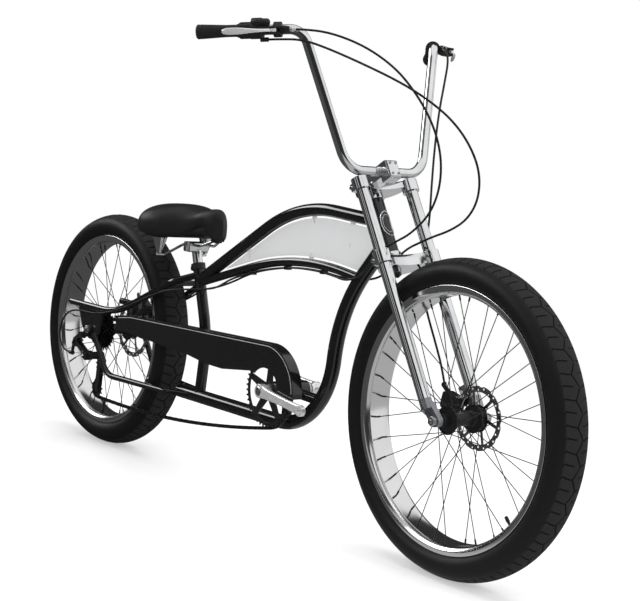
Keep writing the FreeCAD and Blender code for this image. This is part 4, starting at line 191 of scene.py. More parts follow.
def turned(profile: Sequence, base: np.ndarray, axis: np.ndarray, steps: int = 48,
           flats: Optional[Sequence] = None, flutes: int = 0, flute_depth: float = 0.0) -> Surface:
    """A profile turned round an axis: base + axis * height + radius * (first * cos + second * sin).

    A row with a flat share of 1 has its radius drawn in to a hexagon, by cos 30 / cos of the
    angle from the middle of its side. Flutes add a cosine wave to the radius.

    Args:
        profile: rows of radius and height in mm.
        base: start of the axis, in metres.
        axis: its direction.
        steps: points round the axis.
        flats: share of hexagon for each row.
        flutes: waves round the axis.
        flute_depth: height of the waves as a share of the radius.

    Returns:
        The turned surface, closed where its end rows have no radius.
    """
    rows = np.asarray(profile, float) * MM
    share = np.zeros(len(rows)) if flats is None else np.asarray(flats, float)
    axis = unit(axis)
    first, second = square_pair(axis)
    angle = np.linspace(0.0, 2 * np.pi, steps, endpoint=False)
    side = np.cos(np.pi / 6) / np.cos(np.mod(angle, np.pi / 3) - np.pi / 6)
    wave = flute_depth * np.cos(flutes * angle)
    radius = rows[:, :1] * (1 + share[:, None] * (side - 1) + wave)
    ring = np.cos(angle)[:, None] * first + np.sin(angle)[:, None] * second
    points = base + rows[:, 1][:, None, None] * axis + radius[:, :, None] * ring[None]
    return sheet_of(points, False, True)


def swept(path: np.ndarray, profile: np.ndarray, guide: np.ndarray, closed: bool = False) -> Surface:
    """A profile carried along a path: path + side * a + top * b, square to the path.

    Args:
        path: array of n by 3 places in metres.
        profile: array of m by 2 offsets in metres, a closed outline.
        guide: a direction that the top of the profile leans towards.
        closed: True where the path joins back to its start.

    Returns:
        The swept surface, with its ends closed where the path is open.
    """
    if closed:
        tangent = unit(np.roll(path, -1, 0) - np.roll(path, 1, 0))
    else:
        tangent = unit(np.gradient(path, axis=0))
    side = unit(np.cross(tangent, guide))
    top = np.cross(side, tangent)
    rings = path[:, None] + profile[None, :, :1] * side[:, None] + profile[None, :, 1:] * top[:, None]
    if closed:
        return sheet_of(rings, True, True)
    ends = np.repeat(path[[0, -1]][:, None], len(profile), 1)
    return sheet_of(np.concatenate([ends[:1], rings, ends[1:]]), False, True)


def lofted(spine: np.ndarray, wide: np.ndarray, deep: np.ndarray, halves: np.ndarray, power: float,
           steps: int = 32, groove: float = 0.0) -> Surface:
    """Rounded sections along a spine: spine + wide * a * cos to a power + deep * b * sin to that power.

    Args:
        spine: array of n by 3 places in metres.
        wide: direction of the sections' width.
        deep: direction of their depth.
        halves: array of n by 2 half widths and half depths in metres.
        power: 1 for an ellipse, and less for a squarer section.
        steps: points round a section.
        groove: share of the depth pressed in along the middle of the far side, as a bell curve.

    Returns:
        The surface, with its ends closed.
    """
    turn = np.linspace(0.0, 2 * np.pi, steps, endpoint=False)
    cos, sin = np.cos(turn), np.sin(turn)
    across = np.sign(cos) * np.abs(cos) ** power
    dip = 1 - groove * np.exp(-(across / 0.4) ** 2) * (sin > 0)
    over = np.sign(sin) * np.abs(sin) ** power * dip
    rings = (spine[:, None] + halves[:, 0, None, None] * across[None, :, None] * wide
             + halves[:, 1, None, None] * over[None, :, None] * deep)
    ends = np.repeat(spine[[0, -1]][:, None], steps, 1)
    return sheet_of(np.concatenate([ends[:1], rings, ends[1:]]), False, True)


def circle(radius: float, steps: int = 12) -> np.ndarray:
    """The outline of a round bar, radius in metres."""
    angle = np.linspace(0.0, 2 * np.pi, steps, endpoint=False)
    return radius * np.stack([np.cos(angle), np.sin(angle)], -1)


def through(keys: Sequence, samples: int) -> np.ndarray:
    """A smooth line through its key rows, by the cubic that takes its slope from the rows beside.

    Args:
        keys: rows of numbers.
        samples: rows to give back.

    Returns:
        Array of samples by the width of a key.
    """
    keys = np.asarray(keys, float)
    spot = np.linspace(0.0, len(keys) - 1.0, samples)
    index = np.clip(spot.astype(int), 0, len(keys) - 2)
    share = (spot - index)[:, None]
    slope = np.gradient(keys, axis=0)
    start, end = keys[index], keys[index + 1]
    leave, arrive = slope[index], slope[index + 1]
    square, cube = share ** 2, share ** 3
    return (start * (2 * cube - 3 * square + 1) + leave * (cube - 2 * square + share)
            + end * (3 * square - 2 * cube) + arrive * (cube - square))


def arc(start: Sequence, middle: Sequence, end: Sequence, steps: int) -> np.ndarray:
    """Points on the circle through three flat points, from the first to the last.

    With the points as complex numbers, the centre follows from the ratio of their two chords.

    Args:
        start: the first point.
        middle: a point between the ends.
        end: the last point.
        steps: points to give back.

    Returns:
        Array of steps by 2.
    """
    a, b, c = (complex(*point) for point in (start, middle, end))
    ratio = (c - a) / (b - a)
    centre = a + (b - a) * (ratio - abs(ratio) ** 2) / (ratio - ratio.conjugate())
    first = np.angle(a - centre)
    sweep = np.angle((b - centre) / (a - centre)) + np.angle((c - centre) / (b - centre))
    turn = first + sweep * np.linspace(0.0, 1.0, steps)
    return np.stack([centre.real + abs(a - centre) * np.cos(turn),
                     centre.imag + abs(a - centre) * np.sin(turn)], -1)


def joined(surfaces: Sequence[Surface]) -> Surface:
    """Several surfaces as one."""
    return sum(surfaces[1:], surfaces[0])


def cap_screw(base: np.ndarray, axis: np.ndarray, radius: float, height: float) -> Surface:
    """A round screw head with a hexagon socket, turned round its axis.

    Args:
        base: the middle of its seat, in metres.
        axis: the way that it faces.
        radius: its radius, in mm.
        height: its height, in mm.

    Returns:
        The head.
    """
    socket = 0.55 * radius
    floor = 0.45 * height
    edge = 0.12 * radius
    profile = [(0.0, 0.0), (radius, 0.0), (radius, height - edge), (radius - edge, height),
               (socket, height), (socket, floor), (0.0, floor)]
    return turned(profile, base, axis, 36, [0, 0, 0, 0, 1, 1, 1])


def hex_nut(base: np.ndarray, axis: np.ndarray, radius: float, height: float, bore: float) -> Surface:
    """A chamfered hexagon nut with a round hole and a rounded bolt end in it, turned round its axis.

    Args:
        base: the middle of its seat, in metres.
        axis: the way that it faces.
        radius: radius over its corners, in mm.
        height: its height, in mm.
        bore: radius of its hole, in mm.

    Returns:
        The nut and the bolt's end.
    """
    edge = 0.1 * radius
    seat = 0.6 * height
    bolt = bore - 0.4
    tip = height + 3.0
    profile = [(0.0, 0.0), (radius, 0.0), (radius, height - edge), (radius - 1.6 * edge, height),
               (bore, height), (bore, seat), (bolt, seat), (bolt, tip - 0.8), (bolt - 0.8, tip), (0.0, tip)]
    return turned(profile, base, axis, 36, [1, 1, 1, 0.4, 0, 0, 0, 0, 0, 0])


def axle_nut(axle: np.ndarray, end: float, side: int) -> Surface:
    """The nut on one side of a wheel's axle, which ends that many mm from its middle."""
    return hex_nut(axle + LEFT * side * (end - 8.2) * MM, LEFT * side, 11.0, 7.6, 4.6)


# Node trees
class Value:
    """A node's output that takes part in Python arithmetic; each operator adds a Math node."""

    def __init__(self, nodes: "Nodes", socket: bpy.types.NodeSocket) -> None:
        """Wrap one output socket."""
        self.nodes = nodes
        self.socket = socket

    def __add__(self, other: "Number") -> "Value":
        """Sum."""
        return self.nodes.math("ADD", self, other)

    __radd__ = __add__

    def __sub__(self, other: "Number") -> "Value":
        """Difference."""
        return self.nodes.math("SUBTRACT", self, other)

    def __rsub__(self, other: "Number") -> "Value":
        """Difference from a number."""
        return self.nodes.math("SUBTRACT", other, self)

    def __mul__(self, other: "Number") -> "Value":
        """Product."""
        return self.nodes.math("MULTIPLY", self, other)

    __rmul__ = __mul__

    def __pow__(self, other: "Number") -> "Value":
        """Power."""
        return self.nodes.math("POWER", self, other)

    def step(self, low: float, high: float) -> "Value":
        """0 at the low value, 1 at the high one, and smooth between them."""
        return self.nodes.add("ShaderNodeMapRange", {"interpolation_type": "SMOOTHSTEP"},
                              {"Value": self, "From Min": low, "From Max": high})


Number = Union[Value, float]


class Nodes:
    """A node tree with one short way to add nodes.

    Args:
        tree: the tree, which is emptied first.
    """

    def __init__(self, tree: bpy.types.NodeTree) -> None:
        """Start from an empty tree."""
        self.tree = tree
        tree.nodes.clear()

    def add(self, kind: str, settings: Optional[dict] = None, inputs: Optional[dict] = None,
            output: Union[int, str] = 0) -> Value:
        """Add a node.

        Args:
            kind: the node's type.
            settings: its properties, set first.
            inputs: values or links of its sockets, by name or number.
            output: which of its outputs to give back.

        Returns:
            The output, ready for arithmetic.
        """
        node = self.tree.nodes.new(kind)
        for key, value in (settings or {}).items():
            setattr(node, key, value)
        for key, value in (inputs or {}).items():
            self.feed(node.inputs[key], value)
        return Value(self, node.outputs[output])

    def feed(self, socket: bpy.types.NodeSocket, value: object) -> None:
        """Link an output to a socket, or set the socket's own value.

        Args:
            socket: the input.
            value: an output, a number, or a colour of three numbers.
        """
        if isinstance(value, Value):
            self.tree.links.new(value.socket, socket)
        elif socket.type == "RGBA":
            socket.default_value = (*value, 1.0)
        else:
            socket.default_value = value

    def math(self, operation: str, first: Number, second: Number = 0.0) -> Value:
        """One Math node."""
        return self.add("ShaderNodeMath", {"operation": operation}, {0: first, 1: second})

    def mix(self, share: Number, first: object, second: object) -> Value:
        """A mix of two colours."""
        return self.add("ShaderNodeMix", {"data_type": "RGBA"}, {0: share, 6: first, 7: second}, 2)

    def coordinates(self, kind: str = "Object") -> Value:
        """Coordinates of a kind; the object's own are the part's frame in metres."""
        return self.add("ShaderNodeTexCoord", output=kind)

    def ray(self, kind: str) -> Value:
        """1 for rays of a kind, and 0 for the others."""
        return self.add("ShaderNodeLightPath", output=kind)

    def noise(self, scale: float, detail: float = 3.0, where: Optional[Value] = None,
              roughness: float = 0.5) -> Value:
        """Cloudy noise from 0 to 1.

        Args:
            scale: waves per metre.
            detail: finer waves laid over those.
            where: coordinates to take it at, or None for the object's own.
            roughness: strength of the finer waves.

        Returns:
            The noise.
        """
        vector = where if where is not None else self.coordinates()
        return self.add("ShaderNodeTexNoise", None,
                        {"Vector": vector, "Scale": scale, "Detail": detail, "Roughness": roughness})

    def cells(self, scale: float, feature: str = "F1", output: str = "Distance") -> Value:
        """A cell pattern, scale in cells per metre."""
        return self.add("ShaderNodeTexVoronoi", {"feature": feature},
                        {"Vector": self.coordinates(), "Scale": scale}, output)

    def axes(self, kind: str = "Object") -> tuple[Value, Value, Value]:
        """Coordinates of a kind, one axis at a time.

        Args:
            kind: which coordinates to split.

        Returns:
            The three axes.
        """
        split = self.add("ShaderNodeSeparateXYZ", None, {0: self.coordinates(kind)})
        outputs = split.socket.node.outputs
        return tuple(Value(self, outputs[index]) for index in range(3))

    def reading(self, label: str) -> Value:
        """A named value kept on the piece's points."""
        return self.add("ShaderNodeAttribute", {"attribute_name": label}, output="Fac")

    def bump(self, height: Value, strength: float, depth: float, edge: float = 0.0) -> Value:
        """A normal from a height.

        Args:
            height: the relief.
            strength: its share, from 0 to 1.
            depth: its depth, in metres.
            edge: rounding of the piece's edges, in metres.

        Returns:
            The normal.
        """
        inputs = {"Height": height, "Strength": strength, "Distance": depth}
        if edge:
            inputs["Normal"] = self.add("ShaderNodeBevel", {"samples": 4}, {"Radius": edge})
        return self.add("ShaderNodeBump", None, inputs)


class Shader(Nodes):
    """One material's nodes round its shader.

    Args:
        name: the material's name.
    """

    def __init__(self, name: str) -> None:
        """Make the material with its shader and output.

        Args:
            name: the material's name.
        """
        self.material = bpy.data.materials.new(name)
        self.material.use_nodes = True
        super().__init__(self.material.node_tree)
        self.top = self.add("ShaderNodeBsdfPrincipled")
        self.surface = self.top.socket.node
        self.output = self.tree.nodes.new("ShaderNodeOutputMaterial")
        self.feed(self.output.inputs["Surface"], self.top)

    def set(self, **inputs: object) -> None:
        """Set or link the shader's sockets; an underscore stands for a space in a name."""
        for label, value in inputs.items():
            self.feed(self.surface.inputs[label.replace("_", " ")], value)

    def glow_over(self, share: Value, colour: object) -> None:
        """Let a glow take a share of what is there.

        Args:
            share: the glow's share.
            colour: its colour, or one output for its grey.
        """
        glow = self.add("ShaderNodeEmission", None, {"Color": colour})
        self.top = self.add("ShaderNodeMixShader", None, {0: share, 1: self.top, 2: glow})
        self.feed(self.output.inputs["Surface"], self.top)


# Finishes
class Slot(Enum):
    """The record's material slots by name."""

    SILVER = "silver_paint"
    CHROME = "chrome"
    RIM = "polished_alloy"
    CAST = "cast_alloy"
    DARK = "dark_alloy"
    STEEL = "steel"
    TYRE = "tyre"
    RUBBER = "grip_rubber"
    SADDLE = "saddle_cover"
    PLASTIC = "black_plastic"
    SHEATH = "cable_sheath"


def toned(colour: Sequence, share: float) -> tuple:
    """A colour with its brightness multiplied by a share."""
    return tuple(share * channel for channel in colour)


@dataclass(frozen=True)
class Finish:
    """A finish by name, made into a material once.

    Args:
        name: the material's name.
    """

    name: str

    def material(self) -> bpy.types.Material:
        """Make the finish's material at its first use.

        Returns:
            The material.
        """
        known = bpy.data.materials.get(self.name)
        if known is None:
            shader = Shader(self.name)
            self.lay(shader)
            known = shader.material
        return known

    def lay(self, shader: Shader) -> None:
        """Lay the finish on a shader.

        Args:
            shader: the material's nodes.
        """
        raise NotImplementedError


@dataclass(frozen=True)
class GlossPaint(Finish):
    """Sprayed and clear-coated paint: faint orange peel and a few softer patches.

    Args:
        colour: the paint's colour.
    """

    colour: tuple = (0.0045, 0.0045, 0.0050)

    def lay(self, shader: Shader) -> None:
        """Deep colour, a clear coat and a rippled surface.

        Args:
            shader: the material's nodes.
        """
        cloud = shader.noise(7.0, 2.0)
        shader.set(Base_Color=self.colour, Roughness=0.10 + 0.08 * cloud, Specular_IOR_Level=0.35,
                   Coat_Weight=0.5, Coat_Roughness=0.03)
        shader.set(Normal=shader.bump(shader.noise(650.0, 1.0), 0.05, GRAIN_DEPTH, 0.0008))


@dataclass(frozen=True)
class FlakePaint(Finish):
    """Silver paint with fine flakes under a satin coat.

    Args:
        colour: the flakes' lightest colour.
    """

    colour: tuple = (0.72, 0.725, 0.73)

    def lay(self, shader: Shader) -> None:
        """Flakes of slightly different brightness from a cell pattern, and a soft cloud.

        Args:
            shader: the material's nodes.
        """
        flake = shader.cells(2600.0, output="Color")
        light = shader.add("ShaderNodeSeparateColor", None, {0: flake})
        share = 0.25 * light + 0.35 * shader.noise(9.0)
        dark = toned(self.colour, 0.82)
        colour = shader.mix(share, self.colour, dark)
        shader.set(Base_Color=colour, Metallic=0.2, Roughness=0.34 + 0.12 * light, Coat_Weight=0.4,
                   Coat_Roughness=0.08)
        shader.set(Normal=shader.bump(shader.noise(500.0, 1.0), 0.04, GRAIN_DEPTH))


@dataclass(frozen=True)
class Metal(Finish):
    """Bare or plated metal with smudges in its gloss and a fine tooth.

    Args:
        colour: its clean colour.
        rough: its least roughness.
        smudge: what the smudges add to that.
        tooth: strength of its grain.
        grain: waves of the grain per metre.
        edge: rounding of its edges, in metres.
        bare: share of bare metal; the rest takes light as paint does.
    """

    colour: tuple = (0.78, 0.79, 0.80)
    rough: float = 0.05
    smudge: float = 0.06
    tooth: float = 0.02
    grain: float = 900.0
    edge: float = 0.0009
    bare: float = 1.0

    def gloss(self, shader: Shader) -> tuple[Value, Value]:
        """Vary the gloss in clouds.

        Args:
            shader: the material's nodes.

        Returns:
            Colour and roughness.
        """
        cloud = shader.noise(16.0, 4.0)
        streak = shader.noise(140.0, 2.0)
        rough = self.rough + self.smudge * (0.7 * cloud + 0.3 * streak)
        dark = toned(self.colour, 0.86)
        return shader.mix(cloud.step(0.35, 0.75), self.colour, dark), rough

    def lay(self, shader: Shader) -> None:
        """A metal whose gloss varies in clouds, with a shallow grain and rounded edges.

        Args:
            shader: the material's nodes.
        """
        colour, rough = self.gloss(shader)
        shader.set(Base_Color=colour, Metallic=self.bare, Roughness=rough)
        shader.set(Normal=shader.bump(shader.noise(self.grain, 2.0), self.tooth, GRAIN_DEPTH, self.edge))


@dataclass(frozen=True)
class LegChrome(Metal):
    """Chrome on a fork leg, with a bare cast lug below a height up the steering axis.

    Args:
        lug: the lug's colour.
        lug_top: height of the lug's edge, in metres.
        lug_fade: height over which the plating starts, in metres.
    """

    lug: tuple = (0.36, 0.37, 0.39)
    lug_top: float = 0.052
    lug_fade: float = 0.002

    def lay(self, shader: Shader) -> None:
        """Plated above the lug's edge and satin below it, by the height up the steering axis.

        Args:
            shader: the material's nodes.
        """
        x, _, z = shader.axes()
        height = (x - STEER_FOOT[0]) * STEER_UP[0] + (z - STEER_FOOT[2]) * STEER_UP[2]
        plated = height.step(self.lug_top, self.lug_top + self.lug_fade)
        colour, rough = self.gloss(shader)
        cast = shader.noise(420.0, 3.0)
        shader.set(Base_Color=shader.mix(plated, self.lug, colour), Metallic=1.0)
        shader.set(Roughness=plated * rough + (1.0 - plated) * (0.34 + 0.12 * cast))
        shader.set(Normal=shader.bump(cast * (1.0 - plated), 0.15, GRAIN_DEPTH, self.edge))


@dataclass(frozen=True)
class BarChrome(Metal):
    """Chrome on the bars, with crossed knurling beside the stem's clamp.

    Args:
        knurl_half: half of the knurled width, in metres.
        pitch: step of the knurling, in metres.
        middle: the bar's middle in the fork's frame, in mm.
        radius: the bar's radius, in metres.
    """

    knurl_half: float = 0.036
    pitch: float = 0.0016
    middle: tuple = (57.0, 0.0, 592.0)
    radius: float = 0.0111

    def lay(self, shader: Shader) -> None:
        """The relief is the product of two waves that slant across the bar, kept near its middle.

        Args:
            shader: the material's nodes.
        """
        x, y, z = shader.axes()
        middle = fork_place(*self.middle)
        turn = shader.math("ARCTAN2", z - middle[2], x - middle[0])
        near = 1.0 - shader.math("ABSOLUTE", y).step(self.knurl_half - 0.001, self.knurl_half)
        around = turn * self.radius
        first = shader.math("SINE", (y + around) * (math.tau / self.pitch))
        second = shader.math("SINE", (y - around) * (math.tau / self.pitch))
        colour, rough = self.gloss(shader)
        shader.set(Base_Color=colour, Metallic=1.0, Roughness=rough + 0.16 * near)
        shader.set(Normal=shader.bump(first * second * near, 0.35, 0.0003))


@dataclass(frozen=True)
class SpunMetal(Finish):
    """Metal finished on a lathe: fine rings round a wheel's axle.

    Args:
        centre: the axle's place, in metres.
        colour: the metal's clean colour.
        rough: its least roughness.
        rings: rings per metre.
    """

    centre: tuple = (0.0, 0.0, 0.0)
    colour: tuple = (0.80, 0.80, 0.81)
    rough: float = 0.08
    rings: float = 1800.0

    def lay(self, shader: Shader) -> None:
        """Gloss and relief vary with the distance from the axle and across the rim.

        Args:
            shader: the material's nodes.
        """
        x, y, z = shader.axes()
        reach = ((x - self.centre[0]) ** 2 + (z - self.centre[2]) ** 2) ** 0.5
        line = shader.add("ShaderNodeCombineXYZ", None, {0: reach, 1: y, 2: 0.0})
        ring = shader.noise(self.rings, 2.0, line)
        cloud = shader.noise(11.0, 3.0)
        rough = self.rough + 0.06 * ring + 0.08 * cloud
        dark = toned(self.colour, 0.84)
        colour = shader.mix(0.5 * ring + 0.5 * cloud, self.colour, dark)
        shader.set(Base_Color=colour, Metallic=1.0, Roughness=rough)
        shader.set(Normal=shader.bump(ring, 0.05, GRAIN_DEPTH))


@dataclass(frozen=True)
class DarkCoat(Finish):
    """Black anodised or painted small parts, satin, a little worn.

    Args:
        colour: the coat's colour.
        rough: its least roughness.
        edge: rounding of its edges, in metres.
    """

    colour: tuple = (0.009, 0.009, 0.0095)
    rough: float = 0.30
    edge: float = 0.0006

    def lay(self, shader: Shader) -> None:
        """A satin black that lightens in faint scuffs.

        Args:
            shader: the material's nodes.
        """
        scuff = shader.noise(90.0, 6.0, roughness=0.7).step(0.62, 0.8)
        worn = toned(self.colour, 2.4)
        colour = shader.mix(scuff * 0.5, self.colour, worn)
        rough = self.rough + 0.15 * shader.noise(40.0)
        shader.set(Base_Color=colour, Roughness=rough, Specular_IOR_Level=0.4)
        shader.set(Normal=shader.bump(shader.noise(1500.0, 2.0), 0.08, GRAIN_DEPTH, self.edge))


@dataclass(frozen=True)
class OiledSteel(Finish):
    """Dark drive steel with patches of oil.

    Args:
        colour: the dry steel's colour.
    """

    colour: tuple = (0.075, 0.073, 0.070)

    def lay(self, shader: Shader) -> None:
        """Steel that turns darker and wetter in patches.

        Args:
            shader: the material's nodes.
        """
        oil = shader.noise(160.0, 4.0).step(0.4, 0.62)
        colour = shader.mix(oil, self.colour, (0.018, 0.017, 0.016))
        shader.set(Base_Color=colour, Metallic=0.9, Roughness=0.38 - 0.16 * oil)
        shader.set(Normal=shader.bump(shader.noise(1200.0), 0.08, GRAIN_DEPTH))


@dataclass(frozen=True)
class TyreRubber(Finish):
    """Tyre rubber: a powdery grey tread, painted shade that darkens its grooves, and smooth black walls.

    Args:
        wall: the walls' colour.
        tread: the tread's colour.
    """

    wall: tuple = (0.0055, 0.0055, 0.0060)
    tread: tuple = (0.015, 0.015, 0.016)

    def lay(self, shader: Shader) -> None:
        """The tread value on the points picks the grey, and a cloud breaks it up; the value is low in the
        grooves, which paints shade into them.

        Args:
            shader: the material's nodes.
        """
        tread = shader.reading("tread")
        cloud = shader.noise(45.0, 4.0)
        # in the grooves the tread value is a tenth, so share is low there: painted shade
        share = tread * (0.75 + 0.35 * cloud)
        colour = shader.mix(share, self.wall, self.tread)
        shader.set(Base_Color=colour, Roughness=0.44 + 0.24 * tread + 0.1 * cloud, Specular_IOR_Level=0.16)
        shader.set(Normal=shader.bump(shader.noise(1100.0, 3.0), 0.18, 0.0004))


@dataclass(frozen=True)
class SoftBlack(Finish):
    """Rubber or moulded plastic with a fine sparkled skin.

    Args:
        colour: its colour.
        rough: its least roughness.
        skin: cells of the skin per metre.
        relief: strength of the skin's relief.
    """

    colour: tuple = (0.008, 0.008, 0.008)
    rough: float = 0.55
    skin: float = 1400.0
    relief: float = 0.25

    def lay(self, shader: Shader) -> None:
        """A matt black with a cell relief and softly varied gloss.

        Args:
            shader: the material's nodes.
        """
        cell = shader.cells(self.skin)
        colour = shader.mix(0.5 * shader.noise(60.0), self.colour, toned(self.colour, 1.7))
        rough = self.rough + 0.12 * shader.noise(30.0)
        shader.set(Base_Color=colour, Roughness=rough, Specular_IOR_Level=0.3)
        shader.set(Normal=shader.bump(cell, self.relief, 0.0003))


@dataclass(frozen=True)
class SaddleVinyl(Finish):
    """Grained black vinyl stretched over foam.

    Args:
        colour: the vinyl's darkest colour.
    """

    colour: tuple = (0.006, 0.006, 0.006)

    def lay(self, shader: Shader) -> None:
        """Leather cells in two sizes, with a gloss that varies in clouds.

        Args:
            shader: the material's nodes.
        """
        small = shader.cells(900.0)
        large = shader.cells(320.0, "DISTANCE_TO_EDGE")
        crease = large.step(0.0, 0.12)
        height = 0.6 * crease + 0.4 * small
        cloud = shader.noise(14.0, 3.0)
        colour = shader.mix(0.6 * cloud, self.colour, (0.014, 0.014, 0.014))
        shader.set(Base_Color=colour, Roughness=0.34 + 0.16 * cloud, Specular_IOR_Level=0.25)
        shader.set(Normal=shader.bump(height, 0.22, 0.0006))


GLOSS_BLACK = GlossPaint("gloss_black_paint")
GUARD_BLACK = GlossPaint("guard_black_paint", (0.005, 0.005, 0.0055))
TANK_SILVER = FlakePaint("tank_silver_paint")
# silver for the guard's pinstripe, and for the painted highlight along its top edge
STRIPE_AND_HIGHLIGHT_SILVER = FlakePaint("stripe_silver_paint", (0.50, 0.50, 0.51))
CHROME = Metal("bright_chrome")
LEG_CHROME = LegChrome("fork_leg_chrome")
BAR_CHROME = BarChrome("handlebar_chrome")
BRIGHT_ALLOY = Metal("polished_alloy", (0.84, 0.84, 0.85), 0.10, 0.10, 0.04)
BUFFED_ALLOY = Metal("buffed_alloy", (0.78, 0.78, 0.79), 0.14, 0.14, 0.03, 900.0, 0.0, 0.64)
PLAIN_STEEL = Metal("plain_steel", (0.52, 0.53, 0.54), 0.24, 0.14, 0.08, 700.0)
BLACK_SPOKE = DarkCoat("black_spoke_coat", (0.007, 0.007, 0.0075), 0.34, 0.0)
DARK_ALLOY = DarkCoat("dark_alloy_coat")
DRIVE_STEEL = OiledSteel("oiled_drive_steel")
TYRE_RUBBER = TyreRubber("tyre_rubber")
GRIP_RUBBER = SoftBlack("grip_rubber_skin", (0.008, 0.008, 0.008), 0.6, 1100.0, 0.35)
BLACK_PLASTIC = SoftBlack("moulded_black_plastic", (0.007, 0.007, 0.0075), 0.42, 2200.0, 0.12)
CABLE_SHEATH = SoftBlack("cable_sheath_skin", (0.006, 0.006, 0.006), 0.38, 1800.0, 0.08)
SADDLE_VINYL = SaddleVinyl("saddle_vinyl")


def dress(finish: Finish, *nodes: str) -> None:
    """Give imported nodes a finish, through their material slots.

    Args:
        finish: the finish.
        nodes: names of the nodes.
    """
    for node in nodes:
        for material_slot in frame["nodes"][node].material_slots:
            material_slot.material = finish.material()


def coat(obj: bpy.types.Object, finish: Finish) -> None:
    """Give a new piece its finish."""
    obj.data.materials.append(finish.material())


def fit(obj: bpy.types.Object, body: str, finish: Finish) -> bpy.types.Object:
    """Finish a new piece and let it ride on a body.

    Args:
        obj: the piece.
        body: name of the body that carries it.
        finish: its finish.

    Returns:
        The piece.
    """
    coat(obj, finish)
    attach(obj, body)
    LOG.info("%s rides on %s: %d faces", obj.name, body, len(obj.data.polygons))
    return obj


# Wheels
@dataclass
class Wheel:
    """One wheel: treaded tyre, turned rim, valve and disc screws, sizes in mm.

    Args:
        name: front or rear.
        axle: place of its axle, in metres.
        bead: radius of the bead seat.
        disc_y: middle of the brake disc.
        valve_angle: bearing of the valve round the axle, in degrees.
        periods: repeats of the tread round the tyre.
        tyre_height: from the bead seat to the crown.
        tyre_width: the tyre's greatest width.
        tyre_wall: thickness of its side.
        tread_rows: places of the tread's rows from its middle, past the groove's edge.
        groove_depth: depth of the grooves.
        groove_half: half of their width.
        groove_edge: width of their slanting edge.
        short_groove: where the shorter cross grooves start, from the middle.
        zigzag: swing of the groove along the crown.
        slant: lean of the cross grooves at the shoulder.
        rim_width: the rim's width.
        rim_wall: thickness of its wall.
        rim_lip: height of its lip over the bead seat.
        rim_depth: depth of its bed under the bead seat.
        rim_corner: rounding of its corners, in metres.
        bead_gap: room between tyre and rim.
        screw_ring: radius of the ring of disc screws.
    """

    name: str
    axle: np.ndarray
    bead: float
    disc_y: float
    valve_angle: float
    periods: int
    tyre_height: float = 64.5
    tyre_width: float = 92.0
    tyre_wall: float = 4.0
    tread_rows: tuple = (4.5, 8.0, 11.5, 15.0, 18.5, 22.0, 25.0, 27.6)
    groove_depth: float = 2.4
    groove_half: float = 1.2
    groove_edge: float = 0.7
    short_groove: float = 15.0
    zigzag: float = 8.0
    slant: float = 6.0
    rim_width: float = 75.0
    rim_wall: float = 3.0
    rim_lip: float = 6.5
    rim_depth: float = 14.0
    rim_corner: float = 0.0011
    bead_gap: float = 0.3
    screw_ring: float = 25.5

    @property
    def body(self) -> str:
        """The body that carries the wheel's pieces."""
        return self.name + "_wheel"

    @property
    def crown(self) -> float:
        """The tyre's outer radius."""
        return self.bead + self.tyre_height

    @property
    def shoulder(self) -> float:
        """Half of the tread's width."""
        return 0.32 * self.tyre_width

    @property
    def half_repeat(self) -> float:
        """Half of one repeat of the tread, along the crown."""
        return np.pi * self.crown / self.periods

    def build(self) -> None:
        """Build and dress everything on the wheel."""
        self.tyre()
        self.rim()
        self.valve()
        self.disc_screws()
        dress(BLACK_SPOKE, self.name + "_spokes")
        dress(DARK_ALLOY, self.name + "_hub")
        dress(SpunMetal(self.name + "_disc_steel", tuple(self.axle), (0.55, 0.55, 0.56), 0.2, 2600.0),
              self.name + "_disc")

    def contour(self) -> tuple[np.ndarray, np.ndarray, np.ndarray]:
        """Half of the tyre's section, crown to bead: an arc over the tread and one down the wall.

        Returns:
            Reach from the axle, place from the middle and tread share of each row.
        """
        foot = self.rim_width / 2 - self.rim_wall - self.bead_gap
        crown = (self.crown, 0.0)
        shoulder = (self.bead + 0.87 * self.tyre_height, self.shoulder)
        bulge = ((shoulder[0] + crown[0]) / 2 + 2.1, self.shoulder / 2)
        belly = (self.bead + 0.47 * self.tyre_height, self.tyre_width / 2)
        neck = (self.bead + self.rim_lip, foot)
        across = np.array([0.0, self.groove_half, self.groove_half + self.groove_edge, *self.tread_rows])
        fine = arc(crown, bulge, shoulder, 400)
        top = np.stack([np.interp(across, fine[:, 1], fine[:, 0]), across], -1)
        wall = arc(shoulder, belly, neck, 15)
        line = np.vstack([top, wall, [[self.bead, foot]]])
        tread = np.concatenate([np.ones(len(top) + 1), np.zeros(len(wall))])
        return line[:, 0], line[:, 1], tread

    def stations(self) -> tuple[np.ndarray, np.ndarray]:
        """Places along the tread, with the edges of its two cross grooves in each repeat.

        Returns:
            The places, and a mark for each: 1 in the first cross groove, 2 in the second, else 0.
        """
        half = self.half_repeat
        edge = self.groove_half + self.groove_edge
        steps = np.concatenate([[-edge, -self.groove_half, self.groove_half, edge],
                                np.linspace(edge, half - edge, 7)[1:-1]])
        one = np.concatenate([steps, steps + half])
        cut = np.isclose(np.abs(steps), self.groove_half).astype(int)
        mark = np.concatenate([cut, 2 * cut])
        starts = np.arange(self.periods) * 2 * half
        return (starts[:, None] + one[None]).ravel(), np.tile(mark, self.periods)

    def grooves(self, side: np.ndarray, tread: np.ndarray, mark: np.ndarray) -> np.ndarray:
        """Where the tread is cut: along its middle, and across it at the marks.

        A cross groove starts at the middle on one side and further out on the other, turn about.

        Args:
            side: places of the rows from the middle.
            tread: tread share of the rows.
            mark: marks of the places along the tread.

        Returns:
            True where a row is cut, for each place along the tread.
        """
        lateral = np.abs(side)[None]
        whole = np.where(side < 0, 1, 2)[None]
        inner = np.where(mark[:, None] == whole, 0.0, self.short_groove)
        outer = self.shoulder + 4.0
        across = (mark[:, None] > 0) & (lateral >= inner) & (lateral <= outer) & (tread[None] > 0.5)
        return (lateral <= self.groove_half + 0.01) | across

